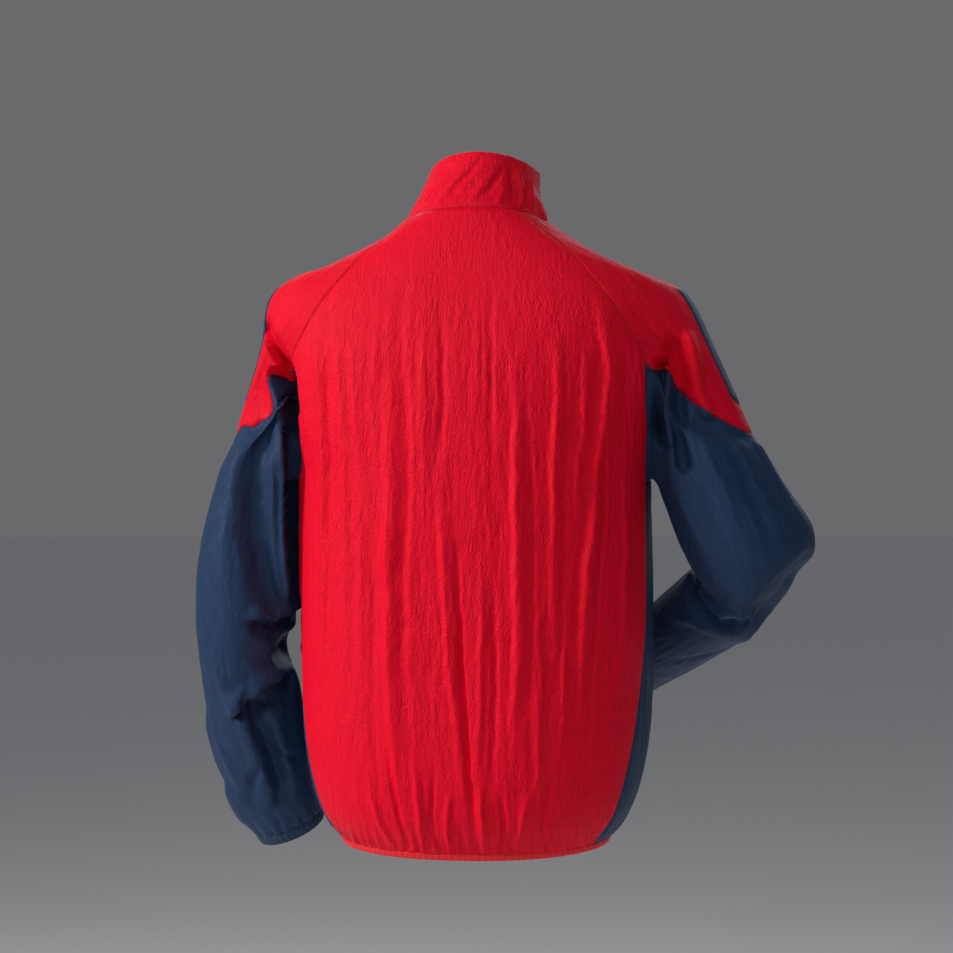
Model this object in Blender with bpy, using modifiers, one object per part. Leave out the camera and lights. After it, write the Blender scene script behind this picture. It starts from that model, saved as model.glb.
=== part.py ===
"""Windbreaker jacket: a raglan, stand-collar jacket in its worn form, hollow and with no wearer.

Metres, +Z up. The front faces -Y and the wearer's left is +X. The origin is the centre of the
collar seam, where the wearer's neck holds the jacket up.

Every panel is a wall between its seams. The body comes from TORSO rings and the collar from COLLAR
rings. Each red yoke is rows of curves from the back seam over a top line to the front seam, and each
navy sleeve runs from the yoke's lower edge and the seams below it to the sections of LEFT_ARM or
RIGHT_ARM. Two panels that share a seam share its points, and each is then drawn back by half the
seam gap.
"""

import math
from collections import namedtuple

import bmesh
import bpy
import numpy as np
from mathutils import Matrix, Vector

# ---- driving sizes, in metres and degrees ----
CLOTH = 0.0012
COLLAR_CLOTH = 0.0022
SEAM_GAP = 0.0003
BINDING_DEPTH = 0.0075
BINDING_THICKNESS = 0.0040
CUFF_DEPTH = 0.012
CUFF_THICKNESS = 0.0026
BAND_THICKNESS = 0.0010
UNDERARM = -0.280
YOKE_CORNER = -0.155
NECK = 0.0
HEM = -0.660
FRONT = 270.0

# The zip. Its slider stands at SLIDER_SHARE of the collar's height and its chain ends at CHAIN_TOP of it.
ZIP_WIDTH = 0.016
CHAIN_WIDTH = 0.0056
CHAIN_THICKNESS = 0.0017
CHAIN_RIDGE = 0.0003
CHAIN_TOP = 0.95
SLIDER_SHARE = 0.84
SLIDER_BASE = 0.0026
SLIDER_THICKNESS = 0.0018
PIVOT_HEIGHT = 0.0018
ARCH_INNER, ARCH_OUTER, ARCH_WIDTH, ARCH_STEPS = 0.0017, 0.0029, 0.0020, 10
PULL_THICKNESS = 0.0014
PULL_BEVEL = 0.0002
Plate = namedtuple("Plate", "half_width low high corner corner_steps")
SLIDER_PLATE = Plate(0.0048, -0.0070, 0.0060, 0.0024, 4)
PULL_PLATE = Plate(0.0034, -0.0240, 0.0008, 0.0007, 4)
PULL_EYE = Plate(0.0017, -0.0040, -0.0008, 0.0004, 2)

# The share of the yoke's columns that the navy band covers.
BAND_SHARE = 0.25

# How far the yoke's rows slant down along the seam at its corner, as a share of their way across it.
YOKE_SLANT = 1.1

# How far curves leave their ends straight on, as a share of their length, the share of a sleeve over
# which its direction is measured, and how far from its corner the navy cloth turns into the corner.
YOKE_HANDLE, SLEEVE_HANDLE = 0.38, 0.42
WAY_STEP = 0.03
CORNER_ABOVE, CORNER_BELOW = 0.075, 0.090

# A ring's back rises and its front drops by its tilt, eased to nothing at the sides by this power.
TILT_EASE = 1.5

# How square the collar's rings are at the seam, and by how much less at the top edge.
COLLAR_SQUARE, COLLAR_SQUARE_LOSS = 2.2, 0.2

TorsoRing = namedtuple("TorsoRing", "height half_width back front square back_rise front_drop")
TORSO = (
    TorsoRing(-0.6675, 0.1420, 0.1130, 0.118, 2.30, -0.008, 0.000),
    TorsoRing(-0.6600, 0.1450, 0.1160, 0.121, 2.30, -0.008, 0.000),
    TorsoRing(-0.6480, 0.1560, 0.1240, 0.129, 2.35, -0.007, 0.000),
    TorsoRing(-0.6320, 0.1660, 0.1320, 0.137, 2.40, -0.006, 0.000),
    TorsoRing(-0.6120, 0.1740, 0.1370, 0.142, 2.40, -0.004, 0.000),
    TorsoRing(-0.5600, 0.1840, 0.1400, 0.147, 2.40, -0.001, 0.000),
    TorsoRing(-0.4800, 0.1875, 0.1390, 0.147, 2.40, 0.000, 0.000),
    TorsoRing(-0.3800, 0.1880, 0.1370, 0.146, 2.40, 0.000, 0.000),
    TorsoRing(-0.2800, 0.1880, 0.1350, 0.143, 2.40, 0.000, 0.000),
    TorsoRing(-0.2200, 0.1980, 0.1330, 0.137, 2.40, 0.000, 0.006),
    TorsoRing(-0.1550, 0.2090, 0.1270, 0.127, 2.40, 0.000, 0.016),
    TorsoRing(-0.1150, 0.2110, 0.1180, 0.118, 2.40, 0.000, 0.025),
    TorsoRing(-0.0870, 0.2050, 0.1090, 0.110, 2.40, 0.001, 0.031),
    TorsoRing(-0.0590, 0.1790, 0.0980, 0.100, 2.38, 0.003, 0.038),
    TorsoRing(-0.0380, 0.1480, 0.0890, 0.091, 2.35, 0.005, 0.043),
    TorsoRing(-0.0150, 0.1060, 0.0770, 0.081, 2.25, 0.008, 0.048),
    TorsoRing(0.0000, 0.0770, 0.0680, 0.074, 2.20, 0.010, 0.050),
)

CollarRing = namedtuple(
    "CollarRing", "share half_width back front lean_x lean_y height back_rise front_drop"
)
COLLAR = (
    CollarRing(0.00, 0.0770, 0.0680, 0.074, 0.0000, 0.000, 0.0000, 0.010, 0.050),
    CollarRing(0.30, 0.0690, 0.0650, 0.070, -0.0010, -0.007, 0.0160, 0.011, 0.040),
    CollarRing(0.65, 0.0625, 0.0625, 0.066, -0.0035, -0.016, 0.0360, 0.013, 0.029),
    CollarRing(1.00, 0.0590, 0.0600, 0.062, -0.0060, -0.024, 0.0540, 0.017, 0.022),
)

# Where the seams cross the rings: half the distance between the two seams of the back, and of the front.
SeamRow = namedtuple("SeamRow", "height back_half front_half")
SEAMS = (
    SeamRow(-0.6675, 0.1310, 0.1250),
    SeamRow(-0.6600, 0.1340, 0.1270),
    SeamRow(-0.6320, 0.1540, 0.1450),
    SeamRow(-0.6000, 0.1655, 0.1530),
    SeamRow(-0.5600, 0.1745, 0.1580),
    SeamRow(-0.5000, 0.1820, 0.1610),
    SeamRow(-0.4100, 0.1866, 0.1630),
    SeamRow(-0.2800, 0.1862, 0.1640),
    SeamRow(-0.2200, 0.1895, 0.1630),
    SeamRow(-0.1550, 0.1895, 0.1600),
    SeamRow(-0.1150, 0.1700, 0.1480),
    SeamRow(-0.0870, 0.1515, 0.1330),
    SeamRow(-0.0590, 0.1270, 0.1120),
    SeamRow(-0.0380, 0.1070, 0.0940),
    SeamRow(-0.0150, 0.0770, 0.0720),
    SeamRow(0.0000, 0.0560, 0.0560),
)

ArmSection = namedtuple("ArmSection", "x y z outer inner back front")
LEFT_ARM = (
    ArmSection(0.2400, 0.003, -0.285, 0.0430, 0.0420, 0.073, 0.071),
    ArmSection(0.2470, 0.006, -0.322, 0.0460, 0.0460, 0.071, 0.069),
    ArmSection(0.2515, 0.009, -0.360, 0.0500, 0.0510, 0.068, 0.067),
    ArmSection(0.2525, 0.010, -0.398, 0.0525, 0.0535, 0.066, 0.064),
    ArmSection(0.2530, 0.009, -0.430, 0.0530, 0.0540, 0.064, 0.060),
    ArmSection(0.2550, 0.005, -0.462, 0.0490, 0.0500, 0.061, 0.056),
    ArmSection(0.2530, -0.006, -0.505, 0.0485, 0.0490, 0.056, 0.053),
    ArmSection(0.2475, -0.022, -0.554, 0.0510, 0.0500, 0.052, 0.050),
    ArmSection(0.2410, -0.036, -0.592, 0.0500, 0.0475, 0.048, 0.047),
    ArmSection(0.2330, -0.048, -0.624, 0.0475, 0.0445, 0.043, 0.043),
    ArmSection(0.2210, -0.060, -0.656, 0.0415, 0.0390, 0.037, 0.037),
)
RIGHT_ARM = (
    ArmSection(-0.2530, 0.002, -0.277, 0.0620, 0.0560, 0.068, 0.068),
    ArmSection(-0.2770, 0.006, -0.322, 0.0670, 0.0620, 0.062, 0.064),
    ArmSection(-0.2900, 0.004, -0.352, 0.0740, 0.0610, 0.058, 0.058),
    ArmSection(-0.2920, -0.012, -0.379, 0.0670, 0.0530, 0.058, 0.053),
    ArmSection(-0.2790, -0.037, -0.397, 0.0560, 0.0460, 0.056, 0.048),
    ArmSection(-0.2540, -0.066, -0.412, 0.0550, 0.0440, 0.050, 0.045),
    ArmSection(-0.2225, -0.104, -0.436, 0.0500, 0.0430, 0.045, 0.043),
    ArmSection(-0.1940, -0.139, -0.457, 0.0460, 0.0410, 0.042, 0.041),
    ArmSection(-0.1680, -0.171, -0.477, 0.0390, 0.0380, 0.038, 0.038),
    ArmSection(-0.1460, -0.199, -0.494, 0.0350, 0.0350, 0.035, 0.035),
)

# The top line of each shoulder, from the neck to the lower edge of the red yoke.
TopPoint = namedtuple("TopPoint", "x y z")
LEFT_TOP = (
    TopPoint(0.0770, 0.000, 0.0000),
    TopPoint(0.1300, 0.000, -0.0335),
    TopPoint(0.1790, 0.000, -0.0545),
    TopPoint(0.2170, 0.000, -0.0710),
    TopPoint(0.2275, 0.000, -0.0850),
    TopPoint(0.2350, 0.001, -0.1370),
    TopPoint(0.2600, 0.002, -0.2180),
    TopPoint(0.2640, 0.003, -0.2300),
)
RIGHT_TOP = (
    TopPoint(-0.0770, 0.000, 0.0000),
    TopPoint(-0.1300, 0.000, -0.0335),
    TopPoint(-0.1790, 0.000, -0.0545),
    TopPoint(-0.2170, 0.000, -0.0720),
    TopPoint(-0.2300, 0.000, -0.0850),
    TopPoint(-0.2560, 0.000, -0.1380),
    TopPoint(-0.2920, 0.001, -0.2180),
    TopPoint(-0.2975, 0.001, -0.2300),
)

# Soft folds of the body: long and upright, deepest at mid height. Angles run from the wearer's left
# over the back.
Fold = namedtuple("Fold", "angle_top angle_low top low half_angle depth")
FOLDS = (
    Fold(50, 47, -0.08, -0.42, 3.6, 0.0045),
    Fold(57, 55, -0.12, -0.52, 3.6, -0.0040),
    Fold(71, 72, -0.18, -0.62, 3.8, 0.0055),
    Fold(79, 80, -0.10, -0.58, 3.8, -0.0050),
    Fold(86, 90, -0.22, -0.64, 2.8, 0.0045),
    Fold(91, 94, -0.26, -0.65, 2.8, -0.0055),
    Fold(98, 98, -0.16, -0.60, 2.8, -0.0030),
    Fold(104, 105, -0.14, -0.58, 3.4, 0.0050),
    Fold(110, 111, -0.12, -0.52, 3.4, -0.0045),
    Fold(117, 119, -0.14, -0.46, 3.2, 0.0040),
    Fold(124, 125, -0.14, -0.58, 3.4, -0.0040),
    Fold(133, 133, -0.08, -0.60, 4.0, 0.0050),
    Fold(190, 191, -0.32, -0.60, 6.0, -0.0030),
    Fold(350, 349, -0.32, -0.60, 6.0, -0.0030),
    Fold(222, 226, -0.16, -0.56, 4.0, -0.0050),
    Fold(236, 238, -0.22, -0.62, 4.0, 0.0040),
    Fold(248, 250, -0.26, -0.62, 3.6, -0.0040),
    Fold(318, 314, -0.16, -0.56, 4.0, -0.0050),
    Fold(304, 302, -0.22, -0.62, 4.0, 0.0040),
    Fold(292, 290, -0.26, -0.62, 3.6, -0.0040),
)

# Folds of a sleeve: a soft trough or ridge between two points of (share of the arm, angle round it).
ArmFold = namedtuple("ArmFold", "share_a angle_a share_b angle_b half_width depth")
LEFT_ARM_FOLDS = (
    ArmFold(0.42, 190, 0.50, 105, 0.011, -0.0080),
    ArmFold(0.52, 200, 0.60, 100, 0.012, -0.0070),
    ArmFold(0.00, 140, 0.40, 165, 0.014, -0.0050),
    ArmFold(0.05, 95, 0.48, 120, 0.013, 0.0040),
    ArmFold(0.66, 60, 0.84, 130, 0.012, -0.0040),
    ArmFold(0.80, 110, 0.94, 170, 0.011, -0.0040),
    ArmFold(0.46, 250, 0.54, 170, 0.012, -0.0060),
    ArmFold(0.72, 300, 0.90, 240, 0.012, -0.0040),
)
RIGHT_ARM_FOLDS = (
    ArmFold(0.22, 120, 0.40, 75, 0.010, -0.0080),
    ArmFold(0.18, 200, 0.26, 130, 0.012, -0.0060),
    ArmFold(0.34, 215, 0.42, 130, 0.011, -0.0070),
    ArmFold(0.00, 150, 0.20, 165, 0.013, -0.0040),
    ArmFold(0.02, 80, 0.20, 70, 0.014, -0.0040),
    ArmFold(0.60, 60, 0.80, 120, 0.012, -0.0040),
    ArmFold(0.66, 250, 0.84, 190, 0.012, -0.0040),
)

# The length and girth of a sleeve's cloth, on which its folds' widths are measured, the share of a
# fold's depth that is left at its ends, and the share of the sleeve over which folds set in.
ARM_LENGTH, ARM_GIRTH = 0.38, 0.36
FOLD_ENDS = 0.35
FOLDS_START = 0.06

# Gathers that the elastic draws up: waves in each panel at the hem, their depths, the height to which
# they run above the hem, the height over which the binding pinches them, and the share of the sleeve
# at which the cuff's begin.
BACK_GATHERS, FRONT_GATHERS, SIDE_GATHERS = 30, 14, 6
HEM_GATHER_DEPTH = 0.0024
CUFF_GATHER_DEPTH = 0.0016
GATHER_RISE = 0.062
GATHER_PINCH = 0.010
CUFF_GATHER_START = 0.86

# Sections of the elastic bindings, from the seam to the free edge: how far each stands out or how
# large its ring is.
BindingSection = namedtuple("BindingSection", "share out")
HEM_SECTIONS = (
    BindingSection(1.0, -0.0004),
    BindingSection(0.7, 0.0006),
    BindingSection(0.35, 0.0006),
    BindingSection(0.0, -0.0004),
)
BINDING_COLUMNS = 84
CuffSection = namedtuple("CuffSection", "share size")
CUFF_SECTIONS = (
    CuffSection(0.0, 0.985),
    CuffSection(0.3, 1.0),
    CuffSection(0.7, 0.985),
    CuffSection(1.0, 0.95),
)

# The heights of the rows that every panel of the body shares, hem to neck.
GATHERED_ROWS = (-0.660, -0.649, -0.634, -0.614)
BODY_ROWS = (-0.588, -0.556, -0.515, -0.470, -0.425, -0.380, -0.335, -0.305, UNDERARM)
UPPER_ROWS = (-0.250, -0.220, -0.188, YOKE_CORNER, -0.135, -0.112)
NECK_ROWS = (-0.089, -0.066, -0.045, -0.026, -0.011, NECK)

# Rows of the collar, from its seam to its top edge.
COLLAR_SHARES = (0.0, 0.2, 0.45, 0.72, 1.0)

# Steps of the navy sleeve from its upper edge to the first section, columns of the yoke, and rows
# down the arm.
ARM_STEPS = 4
YOKE_COLUMNS = 16
LEFT_ROWS = (0.0, 0.09, 0.18, 0.27, 0.36, 0.42, 0.48, 0.54, 0.61, 0.69, 0.77, 0.84, 0.90, 0.95, 1.0)
RIGHT_ROWS = (0.0, 0.07, 0.14, 0.19, 0.24, 0.29, 0.34, 0.39, 0.45, 0.53, 0.63, 0.73, 0.83, 0.92, 1.0)
YOKE_HEIGHTS = (YOKE_CORNER, -0.135, -0.112, *NECK_ROWS)
WIDE_YOKE_ROWS = 5
BAND_ROWS = (1, 2, 3, 4)

# At a sharp corner of a panel, the cloth is drawn back along the corner's middle by no more than the
# gap divided by this.
SHARPEST_LEAN = 0.35

RED = (0.72, 0.012, 0.022, 1.0)
NAVY = (0.018, 0.040, 0.090, 1.0)
METAL = (0.55, 0.56, 0.58, 1.0)


# ---- small mathematics ----
def slopes(xs, ys):
    """Slopes of a smooth curve through the points, flat where the values turn."""
    steps = np.diff(ys, axis=0) / np.diff(xs)[:, None]
    inner = np.where(steps[1:] * steps[:-1] > 0, 0.5 * (steps[1:] + steps[:-1]), 0.0)
    return np.vstack([steps[:1], inner, steps[-1:]])


def smooth_row(table, at):
    """The row of a table at a value of its first column, all columns joined smoothly."""
    rows = np.array(table, float)
    xs = rows[:, 0]
    grade = slopes(xs, rows)
    at = min(max(at, xs[0]), xs[-1])
    i = min(int(np.searchsorted(xs, at, side="right")) - 1, len(xs) - 2)
    i = max(i, 0)
    span = xs[i + 1] - xs[i]
    t = (at - xs[i]) / span
    h00, h10 = 2 * t**3 - 3 * t**2 + 1, t**3 - 2 * t**2 + t
    h01, h11 = -2 * t**3 + 3 * t**2, t**3 - t**2
    return h00 * rows[i] + h10 * span * grade[i] + h01 * rows[i + 1] + h11 * span * grade[i + 1]


def bell(distance, half_width):
    """A smooth bump: one at no distance, none from a half width on."""
    near = np.clip(np.abs(distance) / half_width, 0.0, 1.0)
    return (1.0 - near**2) ** 2


def unit(vector):
    return vector / max(float(np.linalg.norm(vector)), 1e-12)


def signed_power(value, power):
    return math.copysign(abs(value) ** power, value)


def along(points, count):
    """Shares of the list at which a polyline is cut into equal lengths."""
    lengths = np.concatenate([[0.0], np.cumsum(np.linalg.norm(np.diff(points, axis=0), axis=1))])
    return np.interp(np.linspace(0.0, lengths[-1], count), lengths, np.linspace(0.0, 1.0, len(points)))


# ---- the body's surface ----
def plain_torso(angle, height):
    """A point of the body with no folds: angle in degrees, from the wearer's left over the back."""
    ring = TorsoRing(*smooth_row(TORSO, height))
    cosine, sine = math.cos(math.radians(angle)), math.sin(math.radians(angle))
    power = 2.0 / ring.square
    depth = ring.back if sine > 0 else ring.front
    tilt = ring.back_rise if sine > 0 else -ring.front_drop
    return np.array([
        ring.half_width * signed_power(cosine, power),
        depth * signed_power(sine, power),
        ring.height + tilt * abs(sine) ** TILT_EASE,
    ])


def torso_normal(angle, height):
    """Outward normal of the unfolded body."""
    step_a, step_h = 0.5, 0.001
    round_ring = plain_torso(angle + step_a, height) - plain_torso(angle - step_a, height)
    low, high = max(height - step_h, TORSO[0].height), min(height + step_h, NECK)
    up = plain_torso(angle, high) - plain_torso(angle, low)
    return unit(np.cross(round_ring, up))


def fold_height(angle, height):
    """How far the long folds lift the body's cloth at this place."""
    lift = 0.0
    for fold in FOLDS:
        share = (fold.top - height) / (fold.top - fold.low)
        if 0.0 < share < 1.0:
            centre = fold.angle_top + (fold.angle_low - fold.angle_top) * share
            across = float(bell(angle % 360 - centre, fold.half_angle))
            lift += fold.depth * math.sin(math.pi * share) * across
    return lift


def gather_height(height, wave):
    """How far a gather stands out above the hem: wave is 1 on a ridge and -1 in a valley."""
    fade = min(max((height - HEM) / GATHER_RISE, 0.0), 1.0)
    caught = 0.5 + 0.5 * min((height - HEM) / GATHER_PINCH, 1.0)
    return HEM_GATHER_DEPTH * caught * (1.0 - fade) ** 1.2 * wave


def torso_point(angle, height, wave=0.0):
    lift = fold_height(angle, height) + gather_height(height, wave)
    return plain_torso(angle, height) + lift * torso_normal(angle, height)


def ring_angle(half_distance, height):
    """Angle from the side at which the ring is this far from the middle plane."""
    ring = TorsoRing(*smooth_row(TORSO, height))
    share = min(half_distance / ring.half_width, 1.0)
    return math.degrees(math.acos(share ** (ring.square / 2.0)))


def seam_angles(height):
    """(back seam, front seam) as angles of the wearer's left side."""
    row = SeamRow(*smooth_row(SEAMS, height))
    return ring_angle(row.back_half, height), -ring_angle(row.front_half, height)


def zip_angle(height):
    """Half the angle that the zip's tape takes at the centre front."""
    ring = TorsoRing(*smooth_row(TORSO, height))
    return math.degrees(math.asin(min(1.0, (ZIP_WIDTH / 2 / ring.half_width) ** (ring.square / 2.0))))


def even_angles(low, high, height, count):
    """Angles from low to high that cut the ring into equal lengths."""
    dense = np.linspace(low, high, 121)
    points = np.array([plain_torso(angle, height) for angle in dense])
    return low + (high - low) * along(points, count + 1)


def torso_row(low, high, height, count, waves=0):
    """One row of a panel, with waves as a share of columns when the hem gathers it."""
    angles = even_angles(low, high, height, count)
    crest = [-math.cos(2 * math.pi * waves * i / count) if waves else 0.0 for i in range(count + 1)]
    return [torso_point(a, height, w) for a, w in zip(angles, crest)]


# ---- the sleeves' surface ----
def seam_place(side, front, height):
    """A place on a raglan seam: its angle, the cloth's normal and the way across toward the sleeve."""
    def at(level):
        turn = seam_angles(level)[1 if front else 0]
        return turn if side > 0 else 180.0 - turn

    height = min(height, NECK - 0.0015)
    angle = at(height)
    normal = torso_normal(angle, height)
    run = plain_torso(at(height - 0.001), height - 0.001) - plain_torso(at(height + 0.001), height + 0.001)
    across = unit(np.cross(normal, run))
    outward = 0.0 if side > 0 else 180.0
    if float(across @ (plain_torso(outward, height) - plain_torso(angle, height))) < 0:
        across = -across
    return angle, normal, across


def bezier(first, first_way, last, last_way, count=48):
    """Points of a curve that leaves the first point one way and comes to the last point from another."""
    reach = float(np.linalg.norm(last - first))
    near, far = first + first_way * reach * YOKE_HANDLE, last + last_way * reach * YOKE_HANDLE
    s = np.linspace(0.0, 1.0, count)[:, None]
    t = 1.0 - s
    return t**3 * first + 3 * t * t * s * near + 3 * t * s * s * far + s**3 * last


def resample(points, count):
    """The polyline cut into equal lengths."""
    points = np.array(points)
    at = along(points, count + 1) * (len(points) - 1)
    return np.column_stack([np.interp(at, np.arange(len(points)), points[:, k]) for k in range(3)])


def arm_frames(sections):
    """Tangent, outward and backward directions of each section, turned as little as possible."""
    centres = np.array([[s.x, s.y, s.z] for s in sections])
    grade = np.gradient(centres, axis=0)
    side = math.copysign(1.0, sections[0].x)
    outward = np.array([side, 0.0, 0.0])
    frames = []
    for tangent in grade:
        tangent = unit(tangent)
        outward = unit(outward - tangent * float(outward @ tangent))
        backward = np.cross(tangent, outward) * side
        if not frames and backward[1] < 0:
            side, backward = -side, -backward
        frames.append((tangent, outward, backward))
    return frames


def arm_table(sections):
    """Sections with their frames as one table, keyed by the share of the arm's length."""
    centres = np.array([[s.x, s.y, s.z] for s in sections])
    lengths = np.concatenate([[0.0], np.cumsum(np.linalg.norm(np.diff(centres, axis=0), axis=1))])
    rows = []
    for length, section, (_, outward, backward) in zip(lengths, sections, arm_frames(sections)):
        rows.append([length / lengths[-1], *section, *outward, *backward])
    return rows


def arm_point(table, share, angle):
    """A point of the sleeve below the armhole with no folds. Angle 0 is outward and 90 is to the back."""
    row = smooth_row(table, share)
    centre, outward, backward = row[1:4], unit(row[8:11]), unit(row[11:14])
    outer, inner, back, front = row[4:8]
    cosine, sine = math.cos(math.radians(angle)), math.sin(math.radians(angle))
    across = cosine * (outer if cosine > 0 else inner)
    deep = sine * (back if sine > 0 else front)
    return centre + outward * across + backward * deep


class Sleeve:
    """One sleeve: its yoke between the two raglan seams, its navy part, its sections and its folds."""

    def __init__(self, side, sections, folds, top_line, arm_rows):
        self.side, self.folds, self.arm_rows = side, folds, arm_rows
        self.table = arm_table(sections)
        top = np.array(top_line)
        lengths = np.concatenate([[0.0], np.cumsum(np.linalg.norm(np.diff(top, axis=0), axis=1))])
        self.top_line = np.column_stack([lengths / lengths[-1], top])
        self.heights = np.linspace(NECK, YOKE_CORNER, 60)
        line = np.array([plain_torso(seam_angles(h)[0], h) for h in self.heights])
        run = np.concatenate([[0.0], np.cumsum(np.linalg.norm(np.diff(line, axis=0), axis=1))])
        self.seam_shares = run / run[-1]

    def yoke_row(self, height, count):
        """A row of the yoke from the back seam over the shoulder to the front seam."""
        if height >= NECK:
            back, front = seam_angles(NECK)
            turns = even_angles(back, front, NECK, count)
            return np.array([torso_point(a if self.side > 0 else 180.0 - a, NECK) for a in turns])
        share = float(np.interp(-height, -self.heights, self.seam_shares))
        top = smooth_row(self.top_line, share)[1:4]
        ends = []
        for front in (False, True):
            angle, normal, across = seam_place(self.side, front, height)
            down = np.cross(across, normal)
            down = down * math.copysign(YOKE_SLANT * share**2, -down[2])
            ends.append((torso_point(angle, height), unit(across + down)))
        ahead = np.array([0.0, -1.0, 0.0])
        behind_half = bezier(ends[0][0], ends[0][1], top, -ahead)
        front_half = bezier(top, ahead, ends[1][0], ends[1][1])
        return resample(np.vstack([behind_half, front_half[1:]]), count)

    def opening(self, yoke_count, seam_heights, under_count):
        """The navy part's upper edge as (points, ways): the yoke's lower edge, then the seams below it."""
        edge = self.yoke_row(YOKE_CORNER, yoke_count)
        above = self.yoke_row(YOKE_CORNER + 0.006, yoke_count)
        spots = [(seam_angles(h)[1], h, True) for h in seam_heights]
        back, front = seam_angles(UNDERARM)
        spots += [(a, UNDERARM, None) for a in even_angles(front, back, UNDERARM, under_count)[1:-1]]
        spots += [(seam_angles(h)[0], h, False) for h in seam_heights[::-1]]
        lower = [torso_point(a if self.side > 0 else 180.0 - a, h) for a, h, _ in spots]
        points = np.array([*edge, *lower])
        wedges = [unit(unit(edge[1] - edge[0]) + unit(lower[-1] - edge[0]))]
        wedges.append(unit(unit(edge[-2] - edge[-1]) + unit(lower[0] - edge[-1])))
        ways = []
        for point, over in zip(edge, above):
            ways.append(self.fanned(point, unit(point - over), edge[0], edge[-1], wedges, CORNER_ABOVE))
        for point, (turn, height, front_side) in zip(lower, spots):
            if front_side is None:
                way = np.array([0.25 * self.side, 0.0, 1.0])
            else:
                across = seam_place(self.side, front_side, height)[2]
                depth = (YOKE_CORNER - height) / (YOKE_CORNER - UNDERARM)
                way = 0.5 * across + np.array([0.5 * self.side, 0.0, 0.9 * depth**4])
            ways.append(self.fanned(point, unit(way), edge[0], edge[-1], wedges, CORNER_BELOW))
        return points, np.array(ways)

    def fanned(self, point, way, back_corner, front_corner, wedges, spread):
        """A way that turns into the middle of the cloth's corner as the point nears that corner."""
        for corner, wedge in ((back_corner, wedges[0]), (front_corner, wedges[1])):
            near = 1.0 - min(float(np.linalg.norm(point - corner)) / spread, 1.0)
            way = way * (1.0 - near) + wedge * near
        return unit(way)

    def set_columns(self, points, yoke_count):
        """The angle round the arm that each column goes to, by its share of the way round."""
        loop = np.vstack([points, points[:1]])
        start = np.concatenate([[0.0], np.cumsum(np.linalg.norm(np.diff(loop, axis=0), axis=1))])
        top = start[yoke_count // 2]
        return np.mod((top - start[:-1]) / start[-1] * 360.0, 360.0)

    def upper(self, points, ways, angles, steps):
        """Rows of the navy part from its upper edge to just above the first section."""
        rows = []
        meets = [arm_point(self.table, 0.0, a) for a in angles]
        arrives = [unit(arm_point(self.table, WAY_STEP, a) - m) for a, m in zip(angles, meets)]
        for k in range(steps):
            share = k / steps
            s = 1.0 - share
            row = []
            for leave, way, meet, arrive in zip(points, ways, meets, arrives):
                reach = float(np.linalg.norm(meet - leave))
                near = leave + way * reach * SLEEVE_HANDLE
                far = meet - arrive * reach * SLEEVE_HANDLE
                ends = s**3 * leave + share**3 * meet
                row.append(ends + 3 * s * s * share * near + 3 * s * share**2 * far)
            rows.append(row)
        return rows

    def arm(self, angle, share, crest):
        """A point of the sleeve below the first section, with crest 1 on a gather and -1 in its valley."""
        point = arm_point(self.table, share, angle)
        centre = smooth_row(self.table, share)[1:4]
        lift = sum(self.fold_lift(fold, share, angle) for fold in self.folds)
        gathered = max((share - CUFF_GATHER_START) / (1.0 - CUFF_GATHER_START), 0.0) ** 1.3
        lift += CUFF_GATHER_DEPTH * gathered * crest
        return point + unit(point - centre) * lift

    def fold_lift(self, fold, share, angle):
        """The lift of one fold at this place, by its distance on the cloth from the fold's line."""
        ax, ay = fold.share_a * ARM_LENGTH, fold.angle_a / 360 * ARM_GIRTH
        bx, by = fold.share_b * ARM_LENGTH, fold.angle_b / 360 * ARM_GIRTH
        px, py = share * ARM_LENGTH, angle / 360 * ARM_GIRTH
        run = ((px - ax) * (bx - ax) + (py - ay) * (by - ay)) / ((bx - ax) ** 2 + (by - ay) ** 2)
        held = min(max(run, 0.0), 1.0)
        gap = math.hypot(px - ax - held * (bx - ax), py - ay - held * (by - ay))
        ends = FOLD_ENDS + (1.0 - FOLD_ENDS) * math.sin(math.pi * held)
        settled = min(share / FOLDS_START, 1.0)
        return fold.depth * float(bell(gap, fold.half_width)) * ends * settled


# ---- making solids ----
def fresh_scene():
    """An empty scene with a collection for the jacket's pieces and one for what cuts them."""
    for obj in list(bpy.data.objects):
        bpy.data.objects.remove(obj)
    made = [bpy.data.collections.new(name) for name in ("windbreaker_jacket", "cutters")]
    for collection in made:
        bpy.context.scene.collection.children.link(collection)
    return made


def finish(name, colour, roughness, metallic=0.0):
    """A plain material of one colour."""
    material = bpy.data.materials.new(name)
    material.use_nodes = True
    shader = material.node_tree.nodes["Principled BSDF"]
    shader.inputs["Base Color"].default_value = colour
    shader.inputs["Roughness"].default_value = roughness
    shader.inputs["Metallic"].default_value = metallic
    material.diffuse_color = colour
    return material


def stitch(shape, low, high):
    """Faces between two rows: equal in number, or one with twice as many columns as the other."""
    if len(low) == len(high):
        for i in range(len(low) - 1):
            shape.faces.new((low[i], low[i + 1], high[i + 1], high[i]))
    elif len(low) > len(high):
        for i in range(len(high) - 1):
            j = 2 * i
            shape.faces.new((low[j], low[j + 1], high[i]))
            shape.faces.new((low[j + 1], high[i + 1], high[i]))
            shape.faces.new((low[j + 1], low[j + 2], high[i + 1]))
    else:
        raise ValueError("rows run from the finer one to the coarser one")


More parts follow.
